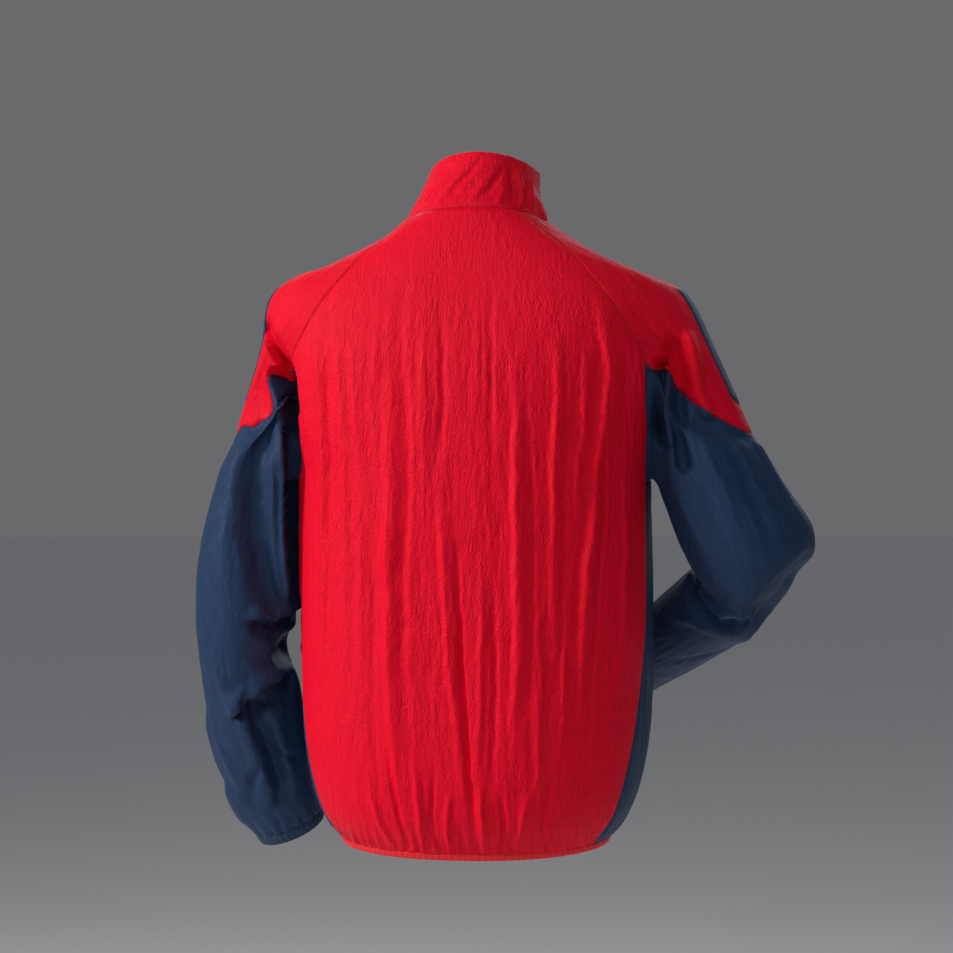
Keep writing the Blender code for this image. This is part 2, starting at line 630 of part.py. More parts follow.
def draw_back(shape, distance):
    """Moves the open edges of a sheet into the sheet, so that a seam has its gap."""
    moves = {}
    for edge in shape.edges:
        if len(edge.link_faces) != 1:
            continue
        face = edge.link_faces[0]
        a, b = edge.verts
        line = (b.co - a.co).normalized()
        inward = face.normal.cross(line).normalized()
        if inward.dot(face.calc_center_median() - a.co) < 0:
            inward = -inward
        for vert in (a, b):
            moves.setdefault(vert, []).append(inward)
    for vert, ways in moves.items():
        mean = sum(ways, Vector()).normalized()
        lean = max(min(mean.dot(way) for way in ways), SHARPEST_LEAN)
        vert.co += mean * (distance / lean)


def add_panel(name, rows, material, thickness=CLOTH, inward=True, gap=SEAM_GAP / 2, closed=False):
    """A cloth wall from rows of points, which are its outer face. The wall goes inward from it."""
    shape = bmesh.new()
    lines = [[shape.verts.new(Vector(p)) for p in row] for row in rows]
    if closed:
        lines = [line + line[:1] for line in lines]
    for low, high in zip(lines, lines[1:]):
        stitch(shape, low, high)
    bmesh.ops.remove_doubles(shape, verts=shape.verts, dist=2e-5)
    bmesh.ops.dissolve_degenerate(shape, edges=shape.edges, dist=1e-6)
    if not inward:
        bmesh.ops.reverse_faces(shape, faces=shape.faces)
    shape.normal_update()
    draw_back(shape, gap)
    mesh = bpy.data.meshes.new(name)
    shape.to_mesh(mesh)
    shape.free()
    mesh.shade_smooth()
    mesh.materials.append(material)
    obj = bpy.data.objects.new(name, mesh)
    JACKET.objects.link(obj)
    wall = obj.modifiers.new("Wall", "SOLIDIFY")
    wall.thickness = thickness
    wall.offset = -1.0
    wall.use_quality_normals = True
    return obj


# ---- the panels ----
def body_rows(low_angle, high_angle, columns, top_rows):
    """Rows of a panel of the body from the hem up: the angle functions give its two seams at a height."""
    rows = [torso_row(low_angle(h), high_angle(h), h, 2 * columns, columns) for h in GATHERED_ROWS]
    rows += [torso_row(low_angle(h), high_angle(h), h, columns) for h in (*BODY_ROWS, *top_rows)]
    return rows


def make_body():
    """The back, the two fronts and the two side panels."""
    def left_back(h):
        return seam_angles(h)[0]

    def right_back(h):
        return 180.0 - seam_angles(h)[0]

    def left_front(h):
        return 360.0 + seam_angles(h)[1]

    def right_front(h):
        return 180.0 - seam_angles(h)[1]

    def zip_right(h):
        return FRONT - zip_angle(h)

    def zip_left(h):
        return FRONT + zip_angle(h)

    panels = (
        ("back", left_back, right_back, BACK_GATHERS, RED_CLOTH, True),
        ("front_right", right_front, zip_right, FRONT_GATHERS, RED_CLOTH, True),
        ("front_left", zip_left, left_front, FRONT_GATHERS, RED_CLOTH, True),
        ("side_left", lambda h: left_front(h) - 360.0, left_back, SIDE_GATHERS, NAVY_CLOTH, False),
        ("side_right", right_back, right_front, SIDE_GATHERS, NAVY_CLOTH, False),
    )
    for name, low, high, columns, material, reaches_neck in panels:
        rows = body_rows(low, high, columns, UPPER_ROWS if reaches_neck else ())
        if reaches_neck:
            rows += [torso_row(low(h), high(h), h, columns // 2) for h in NECK_ROWS]
        add_panel(name, rows, material)


def neck_columns():
    """The angles of the collar seam's points, from the zip over the left, back and right to the zip."""
    back, front = seam_angles(NECK)
    half_zip = zip_angle(NECK)
    cuts = (
        (FRONT - 360 + half_zip, front, FRONT_GATHERS // 2),
        (front, back, YOKE_COLUMNS // 4),
        (back, 180 - back, BACK_GATHERS // 2),
        (180 - back, 180 - front, YOKE_COLUMNS // 4),
        (180 - front, FRONT - half_zip, FRONT_GATHERS // 2),
    )
    angles = [cuts[0][0]]
    for low, high, count in cuts:
        angles += list(even_angles(low, high, NECK, count)[1:])
    return angles


def collar_point(angle, share):
    """A point of the collar: angle as for the body, and share 0 at its seam and 1 at its top edge."""
    ring = CollarRing(*smooth_row(COLLAR, share))
    cosine, sine = math.cos(math.radians(angle)), math.sin(math.radians(angle))
    power = 2.0 / (COLLAR_SQUARE - COLLAR_SQUARE_LOSS * share)
    depth = ring.back if sine > 0 else ring.front
    tilt = ring.back_rise if sine > 0 else -ring.front_drop
    return np.array([
        ring.lean_x + ring.half_width * signed_power(cosine, power),
        ring.lean_y + depth * signed_power(sine, power),
        ring.height + tilt * abs(sine) ** TILT_EASE,
    ])


def collar_zip_angle(share):
    """Half the angle of the collar's opening, which stays as wide as the zip's tape."""
    ring = CollarRing(*smooth_row(COLLAR, share))
    square = COLLAR_SQUARE - COLLAR_SQUARE_LOSS * share
    return math.degrees(math.asin((ZIP_WIDTH / 2 / ring.half_width) ** (square / 2.0)))


def make_collar():
    """The stand collar, from its seam to its top edge and open at the zip."""
    angles = np.array(neck_columns())
    rows = []
    for share in COLLAR_SHARES:
        half = collar_zip_angle(share)
        spread = np.interp(angles, (angles[0], angles[-1]), (FRONT - 360 + half, FRONT - half))
        rows.append([collar_point(a, share) for a in spread])
    rows[0] = [torso_point(a, NECK) for a in angles]
    add_panel("collar", rows, RED_CLOTH, thickness=COLLAR_CLOTH)


def make_sleeve(sleeve, name):
    """The red raglan yoke, the navy sleeve and what lies on them, of one side."""
    middle_rows = len(YOKE_HEIGHTS) - WIDE_YOKE_ROWS - 1
    widths = [YOKE_COLUMNS] * WIDE_YOKE_ROWS + [YOKE_COLUMNS // 2] * middle_rows + [YOKE_COLUMNS // 4]
    yoke = [sleeve.yoke_row(h, n) for h, n in zip(YOKE_HEIGHTS, widths)]
    facing = sleeve.side < 0
    add_panel(f"yoke_{name}", yoke, RED_CLOTH, inward=facing)
    points, ways = sleeve.opening(YOKE_COLUMNS, (*UPPER_ROWS[2::-1], UNDERARM), SIDE_GATHERS)
    angles = sleeve.set_columns(points, YOKE_COLUMNS)
    upper = sleeve.upper(points, ways, angles, ARM_STEPS)
    crests = [1 if i % 2 else -1 for i in range(len(angles))]
    lower = [[sleeve.arm(a, share, c) for a, c in zip(angles, crests)] for share in sleeve.arm_rows]
    add_panel(f"sleeve_{name}", upper + lower, NAVY_CLOTH, inward=not facing, closed=True)
    make_band(sleeve, name, yoke[:len(BAND_ROWS) + 2])
    make_cuff(sleeve, name, angles)


def make_band(sleeve, name, yoke):
    """A plain navy band along the top of the yoke: the yoke's own points moved out."""
    half = int(YOKE_COLUMNS * BAND_SHARE / 2)
    middle = YOKE_COLUMNS // 2
    rows = []
    for k in BAND_ROWS:
        row = []
        for i in range(middle - half, middle + half + 1):
            high, low = resample_row(yoke[k + 1]), yoke[k - 1]
            around = yoke[k][i + 1] - yoke[k][i - 1]
            normal = unit(np.cross(around, high[i] - low[i]) * -sleeve.side)
            row.append(yoke[k][i] + normal * (SEAM_GAP + BAND_THICKNESS))
        rows.append(row)
    add_panel(f"band_{name}", rows, NAVY_CLOTH, BAND_THICKNESS, sleeve.side < 0, gap=0.0)


def resample_row(row):
    """A coarser row of the yoke given as many columns as the finer ones."""
    return row if len(row) == YOKE_COLUMNS + 1 else resample(row, YOKE_COLUMNS)


def make_cuff(sleeve, name, angles):
    """The elastic binding that ends a sleeve."""
    centre = smooth_row(sleeve.table, 1.0)[1:4]
    way = unit(centre - smooth_row(sleeve.table, 1.0 - WAY_STEP)[1:4])
    ring = [arm_point(sleeve.table, 1.0, angle) for angle in angles]
    rows = []
    for section in CUFF_SECTIONS:
        along_arm = way * (SEAM_GAP + section.share * CUFF_DEPTH)
        rows.append([centre + (p - centre) * section.size + along_arm for p in ring])
    add_panel(f"cuff_{name}", rows, NAVY_CLOTH, CUFF_THICKNESS, sleeve.side > 0, closed=True)


def make_hem_binding():
    """The elastic binding round the hem, from one side of the zip to the other."""
    rows = []
    for section in HEM_SECTIONS:
        height = HEM - SEAM_GAP / 2 - section.share * BINDING_DEPTH
        inner = zip_angle(height)
        angles = even_angles(FRONT - 360 + inner, FRONT - inner, height, BINDING_COLUMNS)
        normals = [torso_normal(a, HEM + BINDING_DEPTH) for a in angles]
        rows.append([plain_torso(a, height) + n * section.out for a, n in zip(angles, normals)])
    add_panel("hem_binding", rows, RED_CLOTH, BINDING_THICKNESS)


# ---- the zip ----
def zip_line():
    """Rows of the zip's tape, hem to collar top: (left edge, middle, right edge) of each."""
    rows = []
    low = HEM - SEAM_GAP / 2 - BINDING_DEPTH
    for height in (low, *GATHERED_ROWS, *BODY_ROWS, *UPPER_ROWS, *NECK_ROWS[:-1]):
        half = zip_angle(height)
        rows.append([plain_torso(FRONT + turn, height) for turn in (-half, 0.0, half)])
    for share in (*COLLAR_SHARES[:-1], CHAIN_TOP, COLLAR_SHARES[-1]):
        half = collar_zip_angle(share)
        rows.append([collar_point(FRONT + turn, share) for turn in (-half, 0.0, half)])
    return rows


def line_normals(points):
    """Outward normals of a line that runs up the centre front."""
    way = np.gradient(np.array(points), axis=0)
    normals = np.column_stack([np.zeros(len(way)), -way[:, 2], way[:, 1]])
    return normals / np.linalg.norm(normals, axis=1)[:, None]


def make_zip():
    """The zip's tape and chain, with the slider near the top of the collar."""
    rows = zip_line()
    add_panel("zip_tape", rows, NAVY_CLOTH)
    inner = rows[1:-1]
    normals = line_normals([row[1] for row in inner])
    share = CHAIN_WIDTH / ZIP_WIDTH
    chain = []
    for (left, middle, right), normal in zip(inner, normals):
        crown = middle + normal * (SEAM_GAP + CHAIN_THICKNESS)
        chain.append([
            crown + (left - middle) * share,
            crown + normal * CHAIN_RIDGE,
            crown + (right - middle) * share,
        ])
    add_panel("zip_chain", chain, ZIP_PLASTIC, CHAIN_THICKNESS, gap=0.0)
    low, spot, high = (collar_point(FRONT, SLIDER_SHARE + step) for step in (-0.05, 0.0, 0.05))
    up = unit(high - low)
    out = np.array([0.0, -up[2], up[1]])
    frame = Matrix((
        (1.0, out[0], up[0], spot[0]),
        (0.0, out[1], up[1], spot[1]),
        (0.0, out[2], up[2], spot[2]),
        (0.0, 0.0, 0.0, 1.0),
    ))
    make_slider(frame)
    pivot = frame @ Vector((0.0, SLIDER_BASE + SLIDER_THICKNESS + PIVOT_HEIGHT, 0.0))
    make_pull(pivot)


def outline_solid(name, outline, thickness, material, collection):
    """A flat outline in the X-Z plane as a solid, from -Y to +Y by half its thickness each way."""
    shape = bmesh.new()
    near = [shape.verts.new((x, -thickness / 2, z)) for x, z in outline]
    far = [shape.verts.new((x, thickness / 2, z)) for x, z in outline]
    shape.faces.new(near)
    shape.faces.new(far[::-1])
    for i in range(len(outline)):
        j = (i + 1) % len(outline)
        shape.faces.new((near[j], near[i], far[i], far[j]))
    bmesh.ops.recalc_face_normals(shape, faces=shape.faces)
    mesh = bpy.data.meshes.new(name)
    shape.to_mesh(mesh)
    shape.free()
    if material:
        mesh.materials.append(material)
    obj = bpy.data.objects.new(name, mesh)
    collection.objects.link(obj)
    return obj


def rounded(plate):
    """Outline of a plate: a rectangle with round corners."""
    wide, tall = plate.half_width - plate.corner, plate.corner
    corners = (
        (wide, plate.high - tall, 0),
        (-wide, plate.high - tall, 90),
        (-wide, plate.low + tall, 180),
        (wide, plate.low + tall, 270),
    )
    points = []
    for x, z, start in corners:
        for k in range(plate.corner_steps + 1):
            turn = math.radians(start + 90.0 * k / plate.corner_steps)
            points.append((x + plate.corner * math.cos(turn), z + plate.corner * math.sin(turn)))
    return points


def combine(obj, other, operation):
    """Joins or cuts one solid with another, which becomes a cutter."""
    cut = obj.modifiers.new(other.name, "BOOLEAN")
    cut.operation = operation
    cut.object = other
    cut.solver = "EXACT"
    other.hide_render = True
    other.display_type = "WIRE"


def make_slider(frame):
    """The slider's plate and the arch that holds the pull. Local X is across, Y outward, Z up the zip."""
    plate = outline_solid("zip_slider", rounded(SLIDER_PLATE), SLIDER_THICKNESS, ZIP_METAL, JACKET)
    plate.data.transform(Matrix.Translation((0.0, SLIDER_BASE + SLIDER_THICKNESS / 2, 0.0)))
    foot = -PIVOT_HEIGHT - SLIDER_THICKNESS / 2
    turns = [math.radians(180.0 * k / ARCH_STEPS) for k in range(ARCH_STEPS + 1)]
    over = [(-ARCH_OUTER * math.cos(t), ARCH_OUTER * math.sin(t)) for t in turns]
    under = [(ARCH_INNER * math.cos(t), ARCH_INNER * math.sin(t)) for t in turns]
    arch = [(-ARCH_OUTER, foot), *over, (ARCH_OUTER, foot), (ARCH_INNER, foot), *under, (-ARCH_INNER, foot)]
    bridge = outline_solid("slider_arch", arch, ARCH_WIDTH, None, CUTTERS)
    raised = SLIDER_BASE + SLIDER_THICKNESS + PIVOT_HEIGHT
    turned = Matrix(((0, 1, 0, 0), (0, 0, 1, raised), (1, 0, 0, 0), (0, 0, 0, 1)))
    bridge.data.transform(frame @ turned)
    plate.data.transform(frame)
    combine(plate, bridge, "UNION")


def make_pull(pivot):
    """The pull tab: its origin is on the axis it swings on, and it hangs straight down."""
    tab = outline_solid("zip_pull", rounded(PULL_PLATE), PULL_THICKNESS, ZIP_METAL, JACKET)
    eye = outline_solid("pull_eye", rounded(PULL_EYE), 4 * PULL_THICKNESS, None, CUTTERS)
    tab.location = pivot
    eye.location = pivot
    combine(tab, eye, "DIFFERENCE")
    edge = tab.modifiers.new("Edge", "BEVEL")
    edge.width = PULL_BEVEL
    edge.segments = 1
    edge.limit_method = "ANGLE"
    edge.angle_limit = math.radians(60)


def main():
    make_body()
    make_collar()
    make_hem_binding()
    make_sleeve(Sleeve(1, LEFT_ARM, LEFT_ARM_FOLDS, LEFT_TOP, LEFT_ROWS), "left")
    make_sleeve(Sleeve(-1, RIGHT_ARM, RIGHT_ARM_FOLDS, RIGHT_TOP, RIGHT_ROWS), "right")
    make_zip()


JACKET, CUTTERS = fresh_scene()
RED_CLOTH = finish("red_nylon", RED, 0.55)
NAVY_CLOTH = finish("navy_nylon", NAVY, 0.55)
ZIP_METAL = finish("zip_metal", METAL, 0.3, 1.0)
ZIP_PLASTIC = finish("zip_plastic", NAVY, 0.4)
main()
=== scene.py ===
"""Dresses the windbreaker jacket: crinkled nylon panels, elastic bindings, a moulded zip and its stitching.

Every cloth piece is a thin shell on the form of its solid. The forms are worked out from rings, seams
and sections, in metres with +Z up, the front at -Y and the wearer's left at +X. Creases, gathers and
crinkle are then raised on each shell, and each edge that is sewn turns in at its seam.
"""

import logging
import math
from collections.abc import Callable, Sequence
from dataclasses import dataclass, field
from enum import Enum
from typing import NamedTuple

import bpy
import numpy as np
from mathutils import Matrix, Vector


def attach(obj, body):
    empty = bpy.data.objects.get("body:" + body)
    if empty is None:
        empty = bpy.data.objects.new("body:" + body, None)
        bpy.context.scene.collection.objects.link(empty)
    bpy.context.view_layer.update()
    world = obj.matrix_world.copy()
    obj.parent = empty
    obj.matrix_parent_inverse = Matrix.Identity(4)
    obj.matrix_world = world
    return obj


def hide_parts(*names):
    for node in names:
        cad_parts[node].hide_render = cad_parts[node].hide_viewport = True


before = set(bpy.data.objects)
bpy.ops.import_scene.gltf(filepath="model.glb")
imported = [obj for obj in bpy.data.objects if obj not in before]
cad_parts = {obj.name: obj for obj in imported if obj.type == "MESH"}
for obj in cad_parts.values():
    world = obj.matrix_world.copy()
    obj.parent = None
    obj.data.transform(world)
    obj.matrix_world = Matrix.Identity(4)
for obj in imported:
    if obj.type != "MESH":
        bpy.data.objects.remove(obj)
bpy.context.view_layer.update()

LOG = logging.getLogger("jacket")
Array = np.ndarray

JACKET_BODY = "jacket"
# The cloth: its thickness, how deep and how widely it sinks at a seam, and how far it turns in there.
CLOTH = 0.0005
SEAM_DEPTH = 0.0007
SEAM_ROLL = 0.0022
TURN_IN = 0.0022
# How near a seam creases fade, how round a fold's crest is, and how wide the lip of a pull.
CREASE_CLEARANCE = 0.014
FOLD_CREST = 0.0010
LIP = 0.0035
# How far inside a border the stitches run: beside the back and the yokes, and on narrow pieces.
WIDE_INSET = 0.0024
NARROW_INSET = 0.0022

# Heights on the body, the angle of its front, and how its rings rise and drop between their sides.
HEM = -0.660
UNDERARM = -0.280
YOKE_CORNER = -0.155
NECK = 0.0
FRONT = 270.0
TILT_EASE = 1.5
HEM_BINDING_DEPTH = 0.0075


class Side(Enum):
    """The wearer's left, at +X, or right."""

    LEFT = 1
    RIGHT = -1

    @property
    def word(self) -> str:
        """The side's name in node names."""
        return self.name.lower()

    def turned(self, angle: Array) -> Array:
        """An angle of the left half, or its mirror on the right."""
        return angle if self is Side.LEFT else 180.0 - angle


class Border(Enum):
    """The four edges of a panel: its first and last rows, and its first and last columns."""

    LOW = "low"
    HIGH = "high"
    START = "start"
    END = "end"


class Held(Enum):
    """How a sheet of cloth is held."""

    HUNG = "hung"
    GATHERED = "gathered"
    LAID = "laid"


class Slot(Enum):
    """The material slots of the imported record."""

    RED = "red_nylon"
    NAVY = "navy_nylon"
    ZIP_PLASTIC = "zip_plastic"
    ZIP_METAL = "zip_metal"


# ---- mathematics ----
def smooth(table: Array, at: Array) -> Array:
    """Rows of a table at values of its first column, each column joined by a curve with no overshoot.

    Args:
        table: rows of numbers with a rising first column.
        at: the values, of any shape.

    Returns:
        The rows, in one more dimension than the values.
    """
    table, at = np.asarray(table, float), np.asarray(at, float)
    xs = table[:, 0]
    steps = np.diff(table, axis=0) / np.diff(xs)[:, None]
    inner = np.where(steps[1:] * steps[:-1] > 0, 0.5 * (steps[1:] + steps[:-1]), 0.0)
    grade = np.vstack([steps[:1], inner, steps[-1:]])
    at = np.clip(at, xs[0], xs[-1])
    i = np.clip(np.searchsorted(xs, at, side="right") - 1, 0, len(xs) - 2)
    span = xs[i + 1] - xs[i]
    t, span = ((at - xs[i]) / span)[..., None], span[..., None]
    start = (2 * t**3 - 3 * t**2 + 1) * table[i] + (t**3 - 2 * t**2 + t) * span * grade[i]
    return start + (3 * t**2 - 2 * t**3) * table[i + 1] + (t**3 - t**2) * span * grade[i + 1]


def unit(vectors: Array) -> Array:
    """Vectors of length one, along the last dimension."""
    return vectors / np.maximum(np.linalg.norm(vectors, axis=-1, keepdims=True), 1e-12)


def bell(distance: Array, half_width: Array) -> Array:
    """A smooth bump: one at no distance, none from a half width on."""
    return (1.0 - np.clip(np.abs(distance) / half_width, 0.0, 1.0) ** 2) ** 2


def fold_side(distance: Array, width: Array) -> Array:
    """A fold's flank: a crisp crest, a straight side and a soft foot."""
    rounded = np.sqrt(distance * distance + FOLD_CREST * FOLD_CREST) - FOLD_CREST
    return (1.0 - np.clip(rounded / width, 0.0, 1.0)) ** 1.3


def ease(share: Array) -> Array:
    """Shares from 0 to 1, eased at both ends."""
    share = np.clip(share, 0.0, 1.0)
    return share * share * (3.0 - 2.0 * share)


def signed_power(value: Array, power: Array) -> Array:
    """A power of a number's size that keeps its sign."""
    return np.copysign(np.abs(value) ** power, value)


def ring_point(
    angle: Array, sizes: tuple[Array, Array, Array], square: Array, tilts: tuple[Array, Array]
) -> tuple[Array, Array, Array]:
    """A place on a squared ring, from its centre.

    Args:
        angle: in degrees, 0 at the wearer's left and 90 at the back.
        sizes: half its width, and its reach back and forward.
        square: how square it is, 2 for an ellipse.
        tilts: how far its back rises and its front drops.

    Returns:
        How far the place is to the left, to the back and up.
    """
    half_width, back, front = sizes
    rise, drop = tilts
    cosine, sine = np.cos(np.radians(angle)), np.sin(np.radians(angle))
    power = 2.0 / square
    tilt = np.where(sine > 0, rise, -drop) * np.abs(sine) ** TILT_EASE
    depth = np.where(sine > 0, back, front)
    return half_width * signed_power(cosine, power), depth * signed_power(sine, power), tilt


def lengths_along(points: Array) -> Array:
    """Length from the first point to each point of a polyline."""
    return np.concatenate([[0.0], np.cumsum(np.linalg.norm(np.diff(points, axis=0), axis=1))])


def read_along(at: Array, run: Array, values: Array) -> Array:
    """Rows of three values read at lengths along a line, where run has the length at each row."""
    return np.column_stack([np.interp(at, run, values[:, k]) for k in range(3)])


def resample(points: Array, count: int) -> Array:
    """A polyline cut into equal lengths.

    Args:
        points: the polyline.
        count: how many lengths.

    Returns:
        One more point than the count.
    """
    run = lengths_along(points)
    return read_along(np.linspace(0.0, run[-1], count + 1), run, points)


def bezier(
    first: Array, first_way: Array, last: Array, last_way: Array, share: Array, handle: float
) -> Array:
    """Points of curves that leave their first points one way and reach their last from another.

    Args:
        first: the first points.
        first_way: unit vectors in which the curves leave.
        last: the last points.
        last_way: unit vectors from the last points back along the curves.
        share: shares of the way, from 0 to 1.
        handle: how far the curves run straight on at their ends, as a share of their length.

    Returns:
        The points, with the shares as the first dimension.
    """
    reach = np.linalg.norm(last - first, axis=-1, keepdims=True) * handle
    s = np.asarray(share).reshape((-1,) + (1,) * np.ndim(first))
    t = 1.0 - s
    near, far = first + first_way * reach, last + last_way * reach
    return t**3 * first + 3 * t * t * s * near + 3 * t * s * s * far + s**3 * last


def noise(x: Array, y: Array, seed: int, period: int = 0) -> Array:
    """Smooth random hills, from about -0.7 to 0.7, the same for the same seed.

    Args:
        x: places across, with hills about one apart.
        y: places along.
        seed: which hills.
        period: after how many hills across they repeat, or 0.

    Returns:
        The height of each place.
    """
    column, row = np.floor(x).astype(np.int64), np.floor(y).astype(np.int64)
    in_x, in_y = x - column, y - row
    total = np.zeros(np.broadcast(x, y).shape)
    for step_x in (0, 1):
        for step_y in (0, 1):
            cell = (column + step_x) % period if period else column + step_x
            mixed = (cell * 374761393 + (row + step_y) * 668265263 + seed * 1442695041) & 0xFFFFFFFF
            mixed = ((mixed ^ (mixed >> 13)) * 1274126177) & 0xFFFFFFFF
            turn = (mixed ^ (mixed >> 16)) / 2.0**32 * 2.0 * math.pi
            slope = np.cos(turn) * (in_x - step_x) + np.sin(turn) * (in_y - step_y)
            total += slope * ease(1.0 - np.abs(in_x - step_x)) * ease(1.0 - np.abs(in_y - step_y))
    return total


# ---- colours and materials ----
def linear(colour: str, alpha: float = 1.0) -> tuple[float, float, float, float]:
    """An sRGB hex colour as the linear colour that shaders take.

    Args:
        colour: six hex digits after a hash.
        alpha: the fourth value.

    Returns:
        Red, green, blue and alpha.
    """
    parts = [int(colour[i : i + 2], 16) / 255.0 for i in (1, 3, 5)]
    red, green, blue = (c / 12.92 if c <= 0.04045 else ((c + 0.055) / 1.055) ** 2.4 for c in parts)
    return (red, green, blue, alpha)


def feed(node: bpy.types.Node, inputs: dict) -> None:
    """Sets a node's inputs.

    Args:
        node: the node.
        inputs: values, or sockets that feed them, by the inputs' names or numbers.
    """
    for name, value in inputs.items():
        if isinstance(value, bpy.types.NodeSocket):
            node.id_data.links.new(value, node.inputs[name])
        else:
            node.inputs[name].default_value = value


def add_node(
    material: bpy.types.Material, kind: str, inputs: dict | None = None, **settings: object
) -> bpy.types.Node:
    """Adds a node.

    Args:
        material: whose node tree it goes into.
        kind: the node's type, after the word that all of them begin with.
        inputs: its inputs, as for feed.
        **settings: the node's own properties.

    Returns:
        The node.
    """
    node = material.node_tree.nodes.new(f"ShaderNode{kind}")
    for name, value in settings.items():
        setattr(node, name, value)
    feed(node, inputs or {})
    return node


def two_tones(
    material: bpy.types.Material, share: bpy.types.NodeSocket, deep: str, lit: str
) -> bpy.types.NodeSocket:
    """Blends two colours.

    Args:
        material: the material that gets the node.
        share: where the colour lies between the two, from 0 to 1.
        deep: the colour at 0.
        lit: the colour at 1.

    Returns:
        The socket of the colour.
    """
    ramp = add_node(material, "ValToRGB", {"Fac": share})
    for element, colour in zip(ramp.color_ramp.elements, (deep, lit)):
        element.color = linear(colour)
    return ramp.outputs["Color"]


def new_material(name: str) -> tuple[bpy.types.Material, bpy.types.Node]:
    """Makes an empty material.

    Args:
        name: its name.

    Returns:
        The material and its principled shader.
    """
    material = bpy.data.materials.new(name)
    material.use_nodes = True
    return material, material.node_tree.nodes["Principled BSDF"]


@dataclass(frozen=True)
class CrinkledNylon:
    """Plain-woven nylon, 110 g a square metre, heat-crinkled: matt, faintly silky, its colour deepened in its
    hollows as painted shade.
    """

    name: str
    # The colour on the crinkle's ridges, then the darker one in its hollows, which is painted shade.
    lit: str
    deep: str
    sheen: float = 0.008
    sheen_roughness: float = 0.4
    roughness: float = 0.52
    roughness_range: float = 0.05
    gloss_level: float = 0.11
    refraction: float = 1.53
    crinkle_width: float = 0.0050
    crinkle_length: float = 0.018
    crinkle_height: float = 0.00180
    crinkle_bend: float = 1.3
    patch: float = 0.045
    crepe: float = 0.0018
    crepe_height: float = 0.00090
    # The real thread is 0.15 mm; it is drawn at 0.45 mm so that it shows from near by.
    thread: float = 0.00045
    thread_height: float = 0.00004

    def crinkle(self, made: bpy.types.Material, cloth: bpy.types.NodeSocket) -> bpy.types.NodeSocket:
        """Small bent facets, longer along the cloth than across.

        Args:
            made: the material.
            cloth: the socket of the place on the cloth, in metres.

        Returns:
            The socket of their height.
        """
        scale = (1.0 / self.crinkle_width, 1.0 / self.crinkle_length, 1.0)
        stretched = add_node(made, "Mapping", {"Vector": cloth, "Scale": scale}).outputs[0]
        wander = {"Vector": stretched, "Scale": 0.8, "Detail": 2.0}
        bend = add_node(made, "TexNoise", wander, noise_dimensions="2D").outputs["Color"]
        moved = {0: bend, 1: (self.crinkle_bend, self.crinkle_bend, 0.0), 2: stretched}
        bent = add_node(made, "VectorMath", moved, operation="MULTIPLY_ADD").outputs[0]
        cells = {"Vector": bent, "Scale": 1.0, "Detail": 2.0, "Roughness": 0.5, "Lacunarity": 2.1}
        return add_node(
            made, "TexVoronoi", cells, voronoi_dimensions="2D", feature="F1", normalize=True
        ).outputs["Distance"]

    def weave(self, made: bpy.types.Material, cloth: bpy.types.NodeSocket) -> bpy.types.NodeSocket:
        """The woven threads.

        Args:
            made: the material.
            cloth: the socket of the place on the cloth, in metres.

        Returns:
            The socket of their height.
        """
        stripes = {"Vector": cloth, "Scale": 0.05 / self.thread, "Distortion": 0.0}
        weft, warp = (add_node(made, "TexWave", stripes, bands_direction=way).outputs["Fac"] for way in "XY")
        return add_node(made, "Math", {0: weft, 1: warp}, operation="MULTIPLY").outputs[0]

    def material(self) -> bpy.types.Material:
        """Makes the nylon, which reads the cloth's own map, in metres.

        Returns:
            The material.
        """
        made, shader = new_material(self.name)
        cloth = add_node(made, "UVMap", uv_map="cloth").outputs[0]
        facets = self.crinkle(made, cloth)
        # Some stretches are crinkled hard and others lie almost flat.
        spread = {"Vector": cloth, "Scale": 1.0 / self.patch, "Detail": 1.0}
        patches = add_node(made, "TexNoise", spread, noise_dimensions="2D").outputs["Fac"]
        strength = add_node(made, "MapRange", {0: patches, 1: 0.35, 2: 0.7, 3: 0.15, 4: 1.0}).outputs[0]
        tick_scale = (1.0 / self.crepe, 0.6 / self.crepe, 1.0)
        ticked = add_node(made, "Mapping", {"Vector": cloth, "Scale": tick_scale}).outputs[0]
        ticks = {"Vector": ticked, "Scale": 1.0, "Detail": 2.0, "Roughness": 0.6}
        grains = add_node(made, "TexNoise", ticks, noise_dimensions="2D").outputs["Fac"]
        normal = None
        for height, distance, share in (
            (self.weave(made, cloth), self.thread_height, 0.5),
            (grains, self.crepe_height, 1.0),
            (facets, self.crinkle_height, strength),
        ):
            raised = {"Height": height, "Distance": distance, "Strength": share}
            raised |= {"Normal": normal} if normal else {}
            normal = add_node(made, "Bump", raised).outputs[0]
        # Painted shade: the colour runs from the deep one in the crinkle's hollows to the lit one on its
        # ridges.
        share = add_node(made, "MapRange", {0: facets, 1: 0.1, 2: 0.6}).outputs[0]
        rough, fine = self.roughness + self.roughness_range, self.roughness - self.roughness_range
        gloss = add_node(made, "MapRange", {0: facets, 1: 0.1, 2: 0.6, 3: rough, 4: fine}).outputs[0]
        feed(shader, {
            "Base Color": two_tones(made, share, self.deep, self.lit),
            "Roughness": gloss,
            "Normal": normal,
            "IOR": self.refraction,
            "Specular IOR Level": self.gloss_level,
            "Sheen Weight": self.sheen,
            "Sheen Roughness": self.sheen_roughness,
        })
        return made


